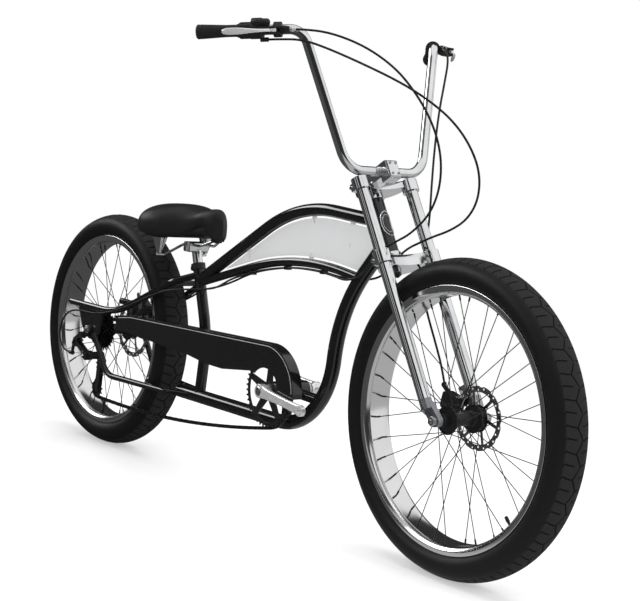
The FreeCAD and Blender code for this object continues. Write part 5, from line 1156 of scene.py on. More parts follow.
    def lining(self) -> np.ndarray:
        """The tyre's inner wall, as rows of reach and place, from one bead over the crown to the other.

        Returns:
            Array of rows by 2, in mm.
        """
        wall = np.array([[self.bead, 0.34 * self.tyre_width],
                         [self.bead + 26.0, self.tyre_width / 2 - self.tyre_wall],
                         [self.crown - 10.0, 18.0]])
        return np.vstack([wall, wall[::-1] * [1, -1]])

    def tyre(self) -> None:
        """The tyre: a section carried round the axle, with a zigzag groove and slanting cross grooves.

        Along the tread, each row is shifted by the slant; across it, rows near the crown follow a
        triangle wave, so that the grooves lie along the grid and keep crisp edges.
        """
        half_reach, width, half_tread = self.contour()
        along, mark = self.stations()
        reach = np.concatenate([half_reach[::-1], half_reach[1:]])
        side = np.concatenate([-width[::-1], width[1:]])
        tread = np.concatenate([half_tread[::-1], half_tread[1:]])
        on_tread = tread > 0.5
        wave = self.zigzag * (2 * np.abs(np.mod(along / self.half_repeat / 2, 1.0) * 2 - 1) - 1)
        calm = np.clip(1 - np.abs(side) / self.shoulder, 0.0, 1.0) ** 0.7 * tread
        across = side - wave[:, None] * calm
        radius = np.where(on_tread, np.interp(np.abs(across), width, half_reach), reach)
        depth = self.groove_depth * self.grooves(side, tread, mark)
        lean = self.slant * (np.abs(side) / self.shoulder) ** 1.5 * on_tread
        lining = self.lining()
        plain = np.ones((len(along), len(lining)))
        radius = np.hstack([radius - depth, plain * lining[:, 0]])
        across = np.hstack([across, plain * lining[:, 1]])
        angle = np.hstack([along[:, None] + lean, along[:, None] * plain]) / self.crown
        points = np.stack([radius * np.cos(angle), across, radius * np.sin(angle)], -1) * MM + self.axle
        surface = sheet_of(points, True, True)
        # grooves keep a tenth of the tread value: painted shade in the grooves
        shade = np.hstack([tread * np.where(depth > 0, 0.1, 1.0), 0.0 * plain])
        surface.values["tread"] = shade.ravel()
        obj = fit(surface.piece(self.name + "_tyre_tread"), self.body, TYRE_RUBBER)
        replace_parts(obj, self.name + "_tyre")

    def rim(self) -> None:
        """The rim: its section turned round the axle, with rounded corners."""
        half = self.rim_width / 2
        bed = self.bead - self.rim_depth
        lip = self.bead + self.rim_lip
        shelf = self.bead - self.bead_gap
        side = [(bed + 0.8, 0.0), (bed + 0.8, half - 17.0), (bed, half - 14.0), (bed, half - 12.0),
                (bed + 4.0, half - 4.0), (bed + 11.0, half), (lip, half), (lip, half - self.rim_wall),
                (shelf, half - self.rim_wall), (shelf, half - self.rim_wall - 7.0),
                (bed + self.rim_wall, half - self.rim_wall - 13.0), (bed + self.rim_wall, 0.0)]
        profile = side + [(radius, -y) for radius, y in side[-2:0:-1]]
        surface = turned(profile + profile[:1], self.axle, LEFT, 240)
        obj = surface.piece(self.name + "_rim_hoop", 60.0)
        bevel = obj.modifiers.new("turned_corners", "BEVEL")
        bevel.width = self.rim_corner
        bevel.segments = 3
        bevel.limit_method = "ANGLE"
        bevel.angle_limit = math.radians(24.0)
        finish = SpunMetal(self.name + "_rim_alloy", tuple(self.axle))
        fit(obj, self.body, finish)
        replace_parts(obj, self.name + "_rim")

    def valve(self) -> None:
        """The valve stem, its nut and its cap, turned round a line to the axle."""
        out = bearing_way(math.radians(self.valve_angle))
        base = self.axle + out * (self.bead - self.rim_depth + 1.0) * MM
        profile = [(0.0, 0.0), (5.2, 0.0), (5.2, 3.0), (4.0, 4.2), (3.1, 6.0), (3.0, 18.0),
                   (3.6, 18.2), (4.0, 19.5), (4.0, 29.0), (3.2, 31.0), (0.0, 31.4)]
        obj = turned(profile, base, -out, 24).piece(self.name + "_valve")
        fit(obj, self.body, GRIP_RUBBER)

    def disc_screws(self) -> None:
        """Six screws that hold the disc on the hub, in a ring round the axle."""
        face = self.axle + LEFT * (self.disc_y + 0.9) * MM
        bearings = (np.arange(6) + 0.5) * math.tau / 6
        screws = [cap_screw(face + bearing_way(bearing) * self.screw_ring * MM, LEFT, 3.6, 2.6)
                  for bearing in bearings]
        fit(joined(screws).piece(self.name + "_disc_screws"), self.body, PLAIN_STEEL)


# Frame
@dataclass
class FrameTubes:
    """The painted frame with its panel, cups, clamp and badge rings, sizes in mm.

    Args:
        head_radius: radius of the head tube.
        badge_height: height of the badge's middle up the steering axis.
        badge_half_width: half of the badge's width round the tube.
        badge_half_height: half of its height.
        axle_end: where the rear axle ends on each side.
    """

    head_radius: float = 19.0
    badge_height: float = 484.0
    badge_half_width: float = 16.0
    badge_half_height: float = 30.0
    axle_end: float = 97.5

    def build(self) -> None:
        """Dress the tubes and add the small fittings."""
        dress(GLOSS_BLACK, "head_tube", "down_tube", "top_tube", "tank_tube", "seat_tube",
              "bottom_bracket_shell", "seat_stays", "chain_stays", "dropouts")
        dress(TANK_SILVER, "tank_panel")
        dress(CHROME, "bearing_cups")
        dress(DARK_ALLOY, "seat_clamp", "rear_caliper")
        dress(PLAIN_STEEL, "rear_axle", "rear_caliper_arm")
        rings = self.badge_ring(1.0, 1.5) + self.badge_ring(0.72, 0.7)
        fit(rings.piece("head_badge_rings"), "frame", CHROME)
        nuts = [axle_nut(REAR_AXLE, self.axle_end, side) for side in (1, -1)]
        fit(joined(nuts).piece("rear_axle_nuts"), "frame", PLAIN_STEEL)

    def badge_ring(self, share: float, thickness: float) -> Surface:
        """A bare oval ring on the head tube: an oval wrapped round the tube's front.

        Args:
            share: size of the oval beside the largest.
            thickness: radius of the ring's wire, in mm.

        Returns:
            The ring.
        """
        turn = np.linspace(0.0, 2 * np.pi, 72, endpoint=False)
        wrap = share * self.badge_half_width * np.cos(turn) / self.head_radius
        reach = self.head_radius + 0.3
        height = self.badge_height + share * self.badge_half_height * np.sin(turn)
        path = (STEER_FOOT + (reach * np.cos(wrap) * MM)[:, None] * STEER_AHEAD
                + (reach * np.sin(wrap) * MM)[:, None] * LEFT + (height * MM)[:, None] * STEER_UP)
        return swept(path, circle(thickness * MM, 8), STEER_AHEAD, True)


# Saddle
@dataclass
class Saddle:
    """The sprung saddle: a padded cover on its rails and cups, stations in mm.

    Args:
        stations: distance ahead of the rear axle, half width, underside and crown.
        rows: sections along the cover.
        columns: points round a section.
        waist: share of the height at which a section is widest.
        dome: powers of the cosine and the sine above the waist.
        under: powers of the cosine and the sine below it.
        tongue: stretch over which the nose's underside becomes round.
        tongue_round: what that adds to the cosine's power.
        piping: radius of the cord along the lower edge.
        nose_foot: place ahead, lower end, upper end and radius of the mount under the nose.
    """

    stations: tuple = (
        (204.0, 2.0, 642.0, 648.0), (207.0, 46.0, 630.0, 664.0), (226.0, 93.0, 615.0, 682.0),
        (268.0, 116.0, 608.0, 694.0), (322.0, 101.0, 609.0, 696.0), (366.0, 64.0, 617.0, 691.0),
        (400.0, 45.0, 637.0, 688.5), (426.0, 35.0, 647.0, 693.5), (448.0, 29.0, 628.0, 696.0),
        (465.0, 21.0, 614.0, 689.0), (476.0, 2.0, 630.0, 664.0),
    )
    rows: int = 90
    columns: int = 96
    waist: float = 0.36
    dome: tuple = (0.8, 0.92)
    under: tuple = (0.34, 0.55)
    tongue: tuple = (410.0, 450.0)
    tongue_round: float = 0.4
    piping: float = 2.2
    nose_foot: tuple = (452.0, 611.0, 640.0, 15.0)

    def build(self) -> None:
        """Build the cover and dress what carries it."""
        self.cover()
        self.edge_piping()
        self.nose_mount()
        dress(CHROME, "seat_post", "saddle_springs", "saddle_rails")

    def edge_piping(self) -> None:
        """The piping where the cover turns under: a round cord along a column of the grid on each side."""
        grid = self.section_points()[2:-2]
        fold = self.columns // 6
        path = np.concatenate([grid[:, -fold], grid[::-1, self.columns // 2 + fold]])
        obj = swept(path, circle(self.piping * MM, 8), UP, True).piece("saddle_piping")
        fit(obj, "saddle", SADDLE_VINYL)

    def nose_mount(self) -> None:
        """The mount that joins the rails' front ends to the shell: a short turned foot."""
        x, low, high, radius = self.nose_foot
        tall = high - low
        profile = [(0.0, 0.0), (radius - 1.5, 0.0), (radius, 1.5), (radius - 3.0, tall), (0.0, tall)]
        surface = turned(profile, place(x, 0.0, low), UP, 36)
        fit(surface.piece("saddle_nose_mount"), "saddle", BLACK_PLASTIC)

    def section_points(self) -> np.ndarray:
        """The cover's grid: sections along a smooth line, domed above their waist and flatter below it.

        A section's width and height are powers of the cosine and the sine of the turn round it.

        Returns:
            Array of rows by columns by 3 places, in metres.
        """
        line = through(self.stations, self.rows)
        x, half, low, crown = (line[:, index][:, None] for index in range(4))
        turn = np.linspace(0.0, 2 * np.pi, self.columns, endpoint=False)[None]
        cos, sin = np.cos(turn), np.sin(turn)
        above = sin >= 0
        start, end = self.tongue
        rounder = self.tongue_round * np.clip((x - start) / (end - start), 0.0, 1.0)
        y = half * np.sign(cos) * np.abs(cos) ** np.where(above, self.dome[0], self.under[0] + rounder)
        tall = crown - low
        rise = (1 - self.waist) * tall * np.abs(sin) ** self.dome[1]
        fall = self.waist * tall * np.abs(sin) ** self.under[1]
        z = low + self.waist * tall + np.where(above, rise, -fall)
        return np.stack([REAR_AXLE[0] + x * MM + 0 * turn, y * MM, z * MM], -1)

    def cover(self) -> None:
        """The padded cover, with its ends drawn to points."""
        grid = self.section_points()
        ends = np.repeat(grid[[0, -1]].mean(1, keepdims=True), self.columns, 1)
        surface = sheet_of(np.concatenate([ends[:1], grid, ends[1:]]), False, True)
        obj = fit(surface.piece("saddle_cover", 80.0), "saddle", SADDLE_VINYL)
        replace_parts(obj, "saddle_pad")


# Drive
@dataclass
class Drive:
    """Crank, chain, gears, derailleur and guard, sizes in mm.

    Args:
        guard_y: the guard's outer face.
        guard_top: corners along the stripe's straight run, from the rear; that run is a painted highlight
            along the guard's top edge.
        stripe_radius: radius of the stripe round the crank at the guard's edge.
        stripe_width: width of the painted line.
        crank_face: the crank arms' outer face.
        crank_middle: the middle of the arms' thickness.
        crank_angle: bearing of the right arm, in degrees.
        crank_length: from the axle to the pedal's eye.
        arm_stations: distance from the axle, half width and half thickness along an arm.
        boss: radius, inner face and outer face of the arms' bosses.
        eye: thread radius, outer radius and half thickness of the pedal's eye.
    """

    guard_y: float = -75.5
    guard_top: tuple = ((130.0, 369.5), (191.0, 379.0))
    stripe_radius: float = 108.0
    stripe_width: float = 1.5
    crank_face: float = 91.0
    crank_middle: float = 84.5
    crank_angle: float = -6.0
    crank_length: float = 160.0
    arm_stations: tuple = (
        (2.0, 15.4, 5.0), (12.0, 15.2, 6.4), (26.0, 13.4, 6.6), (60.0, 11.6, 6.2), (105.0, 10.8, 5.8),
        (136.0, 11.6, 5.9), (151.0, 12.2, 5.6),
    )
    boss: tuple = (17.0, 63.0, 91.0)
    eye: tuple = (7.1, 13.0, 6.5)

    def build(self) -> None:
        """Dress the drive's pieces, and add the crank arms, the guard's stripe with its painted highlight
        along the top edge, and the dust caps.
        """
        dress(GUARD_BLACK, "chain_guard")
        dress(DRIVE_STEEL, "chain", "freewheel")
        dress(DARK_ALLOY, "chainring", "derailleur_knuckle", "derailleur_outer_link",
              "derailleur_inner_link", "derailleur_cage")
        dress(PLAIN_STEEL, "crank_spindle")
        for name, side in SIDES.items():
            obj = fit(self.arm(side).piece("crank_arm_polished_" + name), "crank", BUFFED_ALLOY)
            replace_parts(obj, "crank_arm_" + name)
        dress(BLACK_PLASTIC, "derailleur_body", "upper_jockey_wheel", "lower_jockey_wheel")
        # the stripe's straight run is a painted highlight along the guard's top edge; its arc is a pinstripe
        fit(self.stripe().piece("guard_stripe"), "frame", STRIPE_AND_HIGHLIGHT_SILVER)
        fit(self.dust_caps().piece("crank_dust_caps"), "crank", CHROME)

    def stripe(self) -> Surface:
        """A painted line along the guard's edge: a straight run that is a painted highlight along the top
        edge, and a pinstripe arc round the crank.

        Returns:
            The line, as a thin outline swept along the guard's face.
        """
        crank = np.array([CRANK_AXLE[0] - REAR_AXLE[0], CRANK_AXLE[2]]) / MM
        turn = np.radians(np.linspace(92.0, 6.0, 60))
        ring = crank + self.stripe_radius * np.stack([np.cos(turn), np.sin(turn)], -1)
        corners = np.vstack([self.guard_top, ring])
        run = np.concatenate([[0.0], np.cumsum(np.linalg.norm(np.diff(corners, axis=0), axis=1))])
        even = np.linspace(0.0, run[-1], 400)
        x, z = (np.interp(even, run, corners[:, index]) for index in (0, 1))
        path = np.stack([REAR_AXLE[0] + x * MM, np.full_like(x, self.guard_y * MM), z * MM], -1)
        half = 0.5 * self.stripe_width * MM
        sunk, proud = -0.1 * MM, 0.15 * MM
        outline = np.array([[half, sunk], [half, proud], [-half, proud], [-half, sunk]])
        return swept(path, outline, -LEFT)

    def arm(self, side: int) -> Surface:
        """One crank arm: a grooved loft from its boss to the pedal's eye, which are both turned.

        Args:
            side: 1 for the left and -1 for the right.

        Returns:
            The arm, with its eye open.
        """
        angle = math.radians(self.crank_angle) + (math.pi if side > 0 else 0.0)
        along = bearing_way(angle)
        across = np.cross(along, LEFT)
        out = LEFT * side
        middle = CRANK_AXLE + out * self.crank_middle * MM
        keys = through(self.arm_stations, 60) * MM
        blade = lofted(middle + keys[:, :1] * along, across, out, keys[:, 1:], 0.72, 40, 0.2)
        radius, inner, outer = self.boss
        rim = [(0.0, inner), (radius - 2.0, inner), (radius - 2.0, inner + 9.0), (radius, inner + 12.0),
               (radius, outer - 1.6), (radius - 1.6, outer), (0.0, outer)]
        hole, wall, half = self.eye
        lead, edge = 0.6, 1.4
        ring = [(hole, lead - half), (hole + lead, -half), (wall - edge, -half), (wall, edge - half),
                (wall, half - edge), (wall - edge, half), (hole + lead, half), (hole, half - lead),
                (hole, lead - half)]
        eye = turned(ring, middle + along * self.crank_length * MM, out, 48)
        return blade + turned(rim, CRANK_AXLE, out, 48) + eye

    def dust_caps(self) -> Surface:
        """A low domed cap over each crank bolt, turned.

        Returns:
            Both caps.
        """
        profile = [(0.0, -1.6), (10.6, -1.6), (10.8, 0.2), (10.2, 0.9), (6.0, 1.9), (0.0, 2.2)]
        return joined([turned(profile, CRANK_AXLE + LEFT * side * self.crank_face * MM, LEFT * side, 36)
                       for side in (1, -1)])


# Fork and bars
@dataclass(frozen=True)
class Grip:
    """The frame of one bar end: along it to the grip's end, out towards the lever, and up.

    Args:
        side: 1 for the left and -1 for the right.
        corner: the bar's top corner on the left, in mm from the rear axle.
        splay: angle of the bar end from straight back, in degrees.
        drop: its angle down, in degrees.
        lift: turn of the levers round the bar, in degrees.
    """

    side: int
    corner: tuple = (993.0, 193.0, 1141.0)
    splay: float = 40.0
    drop: float = 6.0
    lift: float = 5.0

    def axes(self) -> tuple[np.ndarray, np.ndarray, np.ndarray]:
        """The frame's directions, worked out on the right and mirrored for the left.

        Returns:
            Along, out and up.
        """
        splay, drop, lift = (math.radians(angle) for angle in (self.splay, self.drop, self.lift))
        level = math.cos(drop)
        along = np.array([-math.cos(splay) * level, -math.sin(splay) * level, -math.sin(drop)])
        flat = np.array([math.sin(splay), -math.cos(splay), 0.0])
        out = flat * math.cos(lift) - np.cross(along, flat) * math.sin(lift)
        mirror = np.array([1.0, -self.side, 1.0])
        return along * mirror, out * mirror, np.cross(along, out) * mirror

    def spot(self, a: float, b: float, c: float) -> np.ndarray:
        """A point in the frame of the bar end.

        Args:
            a: mm along from the bar's top corner.
            b: mm out.
            c: mm up.

        Returns:
            The point, in metres.
        """
        along, out, up = self.axes()
        x, y, z = self.corner
        return place(x, self.side * y, z) + (a * along + b * out + c * up) * MM


@dataclass
class ForkAndBars:
    """The chromed fork, crowns, stem and bars with their grips and levers, sizes in mm.

    Args:
        bar_radius: radius of the bar.
        grip_end: where the grips end along the bar.
        grip_radius: a grip's radius at its start.
        flare_radius: its radius at its end.
        right_start: where the right grip starts.
        left_start: where the left grip starts.
        pinch_lead: place of the crowns' pinch screws ahead of the steering axis.
        pinch_y: their seats, from the middle.
        pinch_heights: their heights up the steering axis.
        cap_face: the stem cap's face, ahead of that axis.
        cap_bolt_y: place of its screws from the middle.
        cap_bolt_heights: their heights.
        stem_top: height of the stem's top.
        steerer_foot: height of the steerer's lower end.
        axle_end: where the front axle ends on each side.
        lever_pivot: a lever's pin, in its bar end's frame.
        lever_stations: place along and out, half height and half depth along a lever's blade.
        housing_stations: the same along a lever's housing.
        adjuster_base: start of a cable adjuster, in its bar end's frame.
        dial_base: foot of the gear dial, in its bar end's frame.
    """

    bar_radius: float = 11.1
    grip_end: float = 240.0
    grip_radius: float = 13.5
    flare_radius: float = 16.5
    right_start: float = 142.4
    left_start: float = 112.0
    pinch_lead: float = 26.0
    pinch_y: float = 83.0
    pinch_heights: tuple = (564.0, 385.0)
    cap_face: float = 89.5
    cap_bolt_y: float = 8.5
    cap_bolt_heights: tuple = (573.0, 599.0)
    stem_top: float = 608.0
    steerer_foot: float = 368.0
    axle_end: float = 85.0
    lever_pivot: tuple = (56.0, 42.0, 0.0)
    lever_stations: tuple = (
        (60.6, 44.2, 2.4, 2.8), (61.6, 44.6, 3.5, 3.9), (66.0, 46.4, 3.5, 4.0), (76.0, 49.6, 3.2, 3.4),
        (92.0, 53.0, 3.8, 3.0), (112.0, 55.0, 5.6, 2.8), (134.0, 54.8, 7.4, 2.6), (154.0, 53.0, 7.6, 2.5),
        (164.0, 51.8, 6.4, 2.4), (169.0, 51.2, 3.6, 1.8), (170.5, 51.0, 1.0, 0.8),
    )
    housing_stations: tuple = (
        (23.5, 26.0, 3.5, 3.5), (24.5, 26.0, 6.4, 6.4), (32.0, 25.0, 8.4, 8.6), (44.0, 23.0, 9.8, 11.6),
        (56.0, 23.5, 10.2, 11.8), (64.0, 24.5, 9.2, 10.4), (68.0, 25.0, 6.8, 8.0), (69.0, 25.0, 3.0, 4.0),
    )
    adjuster_base: tuple = (24.4, 26.0, 0.0)
    dial_base: tuple = (95.2, 0.0, 9.4)

    def build(self) -> None:
        """Dress the fork, and build the grips, levers and small fittings."""
        dress(CHROME, "top_crown", "lower_crown", "stem")
        dress(LEG_CHROME, "fork_legs")
        dress(BAR_CHROME, "handlebar")
        dress(BLACK_PLASTIC, "lever_perches", "shifter_pod")
        dress(GRIP_RUBBER, "shift_collar")
        for name, side in SIDES.items():
            lever = self.lever(side).piece(name + "_lever_blade")
            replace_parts(fit(lever, "brake_lever_" + name, BUFFED_ALLOY), "brake_lever_" + name)
            housing = self.along_grip(side, self.housing_stations, 0.6).piece(name + "_lever_housing")
            fit(housing, "fork", BLACK_PLASTIC)
        dress(DARK_ALLOY, "front_caliper")
        dress(PLAIN_STEEL, "front_axle", "front_caliper_arm")
        right = self.grip(-1, self.right_start)
        left = self.grip(1, self.left_start)
        fit(right.piece("right_grip_sleeve"), "fork", GRIP_RUBBER)
        obj = fit(left.piece("left_grip_sleeve"), "fork", GRIP_RUBBER)
        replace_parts(obj, "grips")
        fit(self.bolts().piece("fork_bolts"), "fork", PLAIN_STEEL)
        fit(self.stem_cap().piece("stem_cap"), "fork", CHROME)
        fit(self.foot_bolt().piece("steerer_foot_bolt"), "fork", DARK_ALLOY)
        fit(self.adjusters().piece("cable_adjusters"), "fork", BRIGHT_ALLOY)
        fit(self.dial().piece("gear_dial"), "fork", BLACK_PLASTIC)

    def bolts(self) -> Surface:
        """Socket screws in the crowns' pinch ears and the stem's cap, and nuts on the axle.

        Returns:
            All of them as one surface.
        """
        screws = []
        for side in (1, -1):
            for height in self.pinch_heights:
                base = fork_place(self.pinch_lead, side * (self.pinch_y - 0.5), height)
                screws.append(cap_screw(base, LEFT * side, 3.8, 4.5))
            for height in self.cap_bolt_heights:
                base = fork_place(self.cap_face - 0.6, side * self.cap_bolt_y, height)
                screws.append(cap_screw(base, STEER_AHEAD, 3.4, 2.4))
            screws.append(axle_nut(FRONT_AXLE, self.axle_end, side))
        return joined(screws)

    def stem_cap(self) -> Surface:
        """A domed cap on the stem over the steerer, turned, with a socket screw in it.

        Returns:
            The cap and its screw.
        """
        base = fork_place(0.0, 0.0, self.stem_top - 0.4)
        profile = [(0.0, 0.0), (15.5, 0.0), (15.5, 2.4), (14.6, 3.6), (12.0, 4.6), (7.0, 5.2), (0.0, 5.3)]
        return turned(profile, base, STEER_UP) + cap_screw(base + STEER_UP * 5.0 * MM, STEER_UP, 5.0, 2.0)

    def foot_bolt(self) -> Surface:
        """The dark bolt head at the steerer's lower end."""
        return hex_nut(fork_place(0.0, 0.0, self.steerer_foot + 0.4), -STEER_UP, 10.0, 6.5, 4.5)

    def along_grip(self, side: int, stations: Sequence, power: float) -> Surface:
        """Rounded sections along a bar end, lofted.

        Args:
            side: 1 for the left and -1 for the right.
            stations: place along and out, half height and half depth of the sections, in mm.
            power: 1 for elliptic sections, and less for squarer ones.

        Returns:
            The lofted surface.
        """
        grip = Grip(side)
        along, out, up = grip.axes()
        keys = through(stations, 56) * MM
        spine = grip.spot(0.0, 0.0, 0.0) + keys[:, :1] * along + keys[:, 1:2] * out
        return lofted(spine, up, out, keys[:, 2:], power, 28)

    def lever(self, side: int) -> Surface:
        """One brake lever: a leaf-shaped blade, and an eye turned round its pivot pin.

        Args:
            side: 1 for the left and -1 for the right.

        Returns:
            The lever.
        """
        grip = Grip(side)
        eye = [(3.3, -3.6), (6.2, -3.6), (6.2, 3.6), (3.3, 3.6), (3.3, -3.6)]
        ring = turned(eye, grip.spot(*self.lever_pivot), grip.axes()[2], 32)
        return self.along_grip(side, self.lever_stations, 0.8) + ring

    def adjusters(self) -> Surface:
        """The knurled cable adjusters: a fluted barrel and a neck turned round the cable's start.

        Returns:
            Both adjusters.
        """
        profile = [(2.7, 0.0), (4.4, 0.0), (4.4, 1.6), (5.4, 2.0), (5.6, 2.8), (5.6, 9.2), (5.2, 10.0),
                   (3.9, 10.4), (3.7, 14.6), (3.3, 15.2), (2.7, 15.2), (2.7, 0.0)]
        pair = [turned(profile, grip.spot(*self.adjuster_base), -grip.axes()[0], 72, None, 18, 0.03)
                for grip in (Grip(1), Grip(-1))]
        return joined(pair)

    def dial(self) -> Surface:
        """The fluted gear dial over the shifter, turned, with a low domed window in its middle.

        Returns:
            The dial.
        """
        grip = Grip(-1)
        profile = [(0.0, 0.0), (18.0, 0.0), (20.0, 1.4), (21.2, 5.0), (21.4, 8.4), (20.6, 11.8),
                   (18.2, 14.6), (14.6, 15.8), (14.0, 15.1), (8.0, 16.0), (0.0, 16.2)]
        return turned(profile, grip.spot(*self.dial_base), grip.axes()[2], 144, None, 24, 0.025)

    def grip(self, side: int, start: float) -> Surface:
        """One grip: a flared sleeve with fine ribs, turned round the bar's end.

        Args:
            side: 1 for the left and -1 for the right.
            start: where the grip starts along the bar.

        Returns:
            The sleeve.
        """
        ribs = np.arange(start + 10.0, self.grip_end - 8.0, 4.0)
        slope = np.interp(ribs, [start + 30.0, self.grip_end - 5.0], [self.grip_radius, self.flare_radius])
        body = np.stack([np.stack([slope, slope, slope - 0.7, slope - 0.7], -1).ravel(),
                         np.stack([ribs, ribs + 2.4, ribs + 2.8, ribs + 3.6], -1).ravel()], -1)
        brim = self.grip_radius + 2.0
        collar = [(self.bar_radius, start), (brim - 0.6, start), (brim, start + 0.6), (brim, start + 3.4),
                  (self.grip_radius, start + 7.0)]
        flare, tip = self.flare_radius, self.grip_end
        end = [(flare, tip - 5.0), (flare - 0.6, tip - 1.8), (flare - 2.4, tip), (6.0, tip),
               (5.0, tip - 1.0), (0.0, tip - 1.0)]
        bar_end = Grip(side)
        return turned(np.vstack([collar, body, end]), bar_end.spot(0.0, 0.0, 0.0), bar_end.axes()[0], 48)


# Cables
@dataclass
class Cables:
    """The brake and shift cables along their routes, points in mm from the rear axle.

    Args:
        radius: outside radius of the sheath.
        guide: the way that the sheath's outline leans.
        stop_arm: place ahead, height, half width and half depth along the arm of the shift sheath's stop.
        wire: points of the inner wire from that stop to its clamp on the derailleur's outer link.
        wire_radius: its radius.
        clamp: the clamp bolt's place on the link.
        blend_start: a point low on the routed cables, in mm from the rear axle; not used.
        blend_end: a point higher on them; not used.
        brake_start: first points of the brake cables, in their bar end's frame.
        shift_start: first points of the shift cable, in its bar end's frame.
        rear_brake: the rear brake cable's route.
        shift: the shift cable's route.
        front_brake: the front brake cable's route.
    """

    radius: float = 2.5
    guide: tuple = (0.11, 0.93, 0.35)
    stop_arm: tuple = (
        (-59.5, 272.0, 5.0, 2.6), (-60.5, 264.0, 4.6, 3.0), (-62.5, 254.0, 4.2, 3.6),
        (-64.5, 245.0, 4.0, 4.0),
    )
    wire: tuple = (
        (-66.0, -96.0, 242.0), (-36.0, -98.4, 246.1), (-14.0, -100.2, 249.2), (-3.5, -101.0, 250.6),
        (9.0, -102.0, 252.4),
    )
    wire_radius: float = 0.8
    clamp: tuple = (-3.5, -99.4, 254.2)
    blend_start: tuple = (1140.0, 0.0, 660.0)
    blend_end: tuple = (1190.0, 0.0, 860.0)
    brake_start: tuple = ((25.7, 26.0, 0.0), (0.0, 26.0, 0.0))
    shift_start: tuple = ((77.7, 0.0, -21.0), (58.0, 0.0, -21.0))
    rear_brake: tuple = (
        (1074, -181, 1136), (1147, -140, 1112), (1210, -105, 1072), (1253, -82, 1026),
        (1285, -62, 976), (1306, -48, 925), (1313, -38, 872), (1305, -32, 816), (1277, -29, 764),
        (1226, -30, 720), (1184, -33, 698), (1148, -34, 680), (1115, -34, 655), (1090, -33, 622),
        (1060, -30, 601), (1020, -24, 591), (985, -14, 588), (950, -4, 590), (890, -4, 594), (830, -4, 593),
        (770, -4, 588), (710, -4, 578), (650, -4, 565), (590, -4, 547), (535, -3, 529), (482, 8, 508),
        (440, 24, 496), (390, 38, 484), (335, 51, 476), (285, 56, 450), (235, 50, 427), (180, 50, 415),
        (120, 45, 418), (68, 42, 420),
    )
    shift: tuple = (
        (1015, -208, 1117), (1085, -183, 1099), (1171, -150, 1070), (1250, -118, 1040),
        (1312, -88, 1007), (1360, -60, 969), (1392, -35, 921), (1402, -10, 867), (1386, 8, 810),
        (1343, 22, 764), (1284, 30, 734), (1226, 33, 714), (1184, 34, 696), (1148, 35, 680), (1115, 35, 655),
        (1090, 34, 622), (1060, 31, 601), (1020, 24, 591), (985, 14, 588), (950, 4, 590), (890, 4, 594),
        (830, 4, 593), (770, 4, 588), (710, 4, 578), (650, 4, 565), (590, 4, 546), (540, 4, 524),
        (490, -6, 503), (448, -24, 490), (400, -46, 484), (340, -66, 474), (280, -70, 452), (220, -76, 426),
        (165, -83, 401), (105, -88, 381), (40, -93, 366), (-30, -96, 366), (-90, -97, 358), (-130, -97, 328),
        (-142, -97, 288), (-128, -97, 256), (-98, -97, 240), (-66, -96, 242),
    )
    front_brake: tuple = (
        (1036, 205, 1112), (1046, 190, 1056), (1062, 167, 990), (1084, 144, 905),
        (1108, 124, 822), (1128, 109, 762), (1138, 99, 716), (1146, 86, 674), (1160, 71, 630),
        (1184, 61, 578), (1212, 61, 526), (1241, 63, 474), (1264, 66, 426), (1276, 68, 388),
    )

    def build(self) -> None:
        """Lay the three cables."""
        right, left = Grip(-1), Grip(1)
        blend_start = tuple(place(*self.blend_start))
        blend_end = tuple(place(*self.blend_end))
        for name, start, route in (("rear_brake", self.brake_start, self.rear_brake),
                                   ("shift", self.shift_start, self.shift)):
            obj = self.sheath(name + "_cable_sheath", right, start, route)
            coat(obj, CABLE_SHEATH)
            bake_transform(obj)
            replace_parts(obj, name + "_cable")
            LOG.info("%s bends between frame and fork", obj.name)
        obj = self.sheath("front_brake_cable_sheath", left, self.brake_start, self.front_brake)
        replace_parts(fit(obj, "fork", CABLE_SHEATH), "front_brake_cable")
        self.shift_end()

    def shift_end(self) -> None:
        """The stop of the shift sheath, and the inner wire from it to its clamp on the outer link."""
        fit(self.shift_stop().piece("shift_cable_stop"), "frame", DARK_ALLOY)
        clamp = cap_screw(place(*self.clamp), -LEFT, 3.4, 2.8)
        fit(clamp.piece("shift_wire_clamp"), "derailleur_outer_link", PLAIN_STEEL)
        spots = [place(*point) for point in self.wire]
        line = self.smooth_line(spots)
        obj = swept(line, circle(self.wire_radius * MM, 8), LEFT).piece("shift_inner_wire")
        coat(obj, PLAIN_STEEL)
        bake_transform(obj)
        LOG.info("%s bends between frame and derailleur_outer_link", obj.name)

    def shift_stop(self) -> Surface:
        """A fluted barrel turned round the sheath's end, on an arm lofted down from the knuckle.

        Returns:
            The barrel and its arm.
        """
        end = place(*self.shift[-1])
        way = unit(end - place(*self.shift[-2]))
        profile = [(2.7, -13.0), (4.6, -13.0), (5.0, -12.4), (5.0, -3.0), (6.2, -2.4), (6.2, 4.4),
                   (5.6, 5.2), (1.0, 5.2), (1.0, 0.5), (2.7, 0.5), (2.7, -13.0)]
        barrel = turned(profile, end, way, 48, None, 12, 0.02)
        keys = through(self.stop_arm, 24) * MM
        spine = np.stack([REAR_AXLE[0] + keys[:, 0], np.full(len(keys), end[1]), keys[:, 1]], -1)
        return barrel + lofted(spine, LEFT, AHEAD, keys[:, 2:], 0.7, 24)

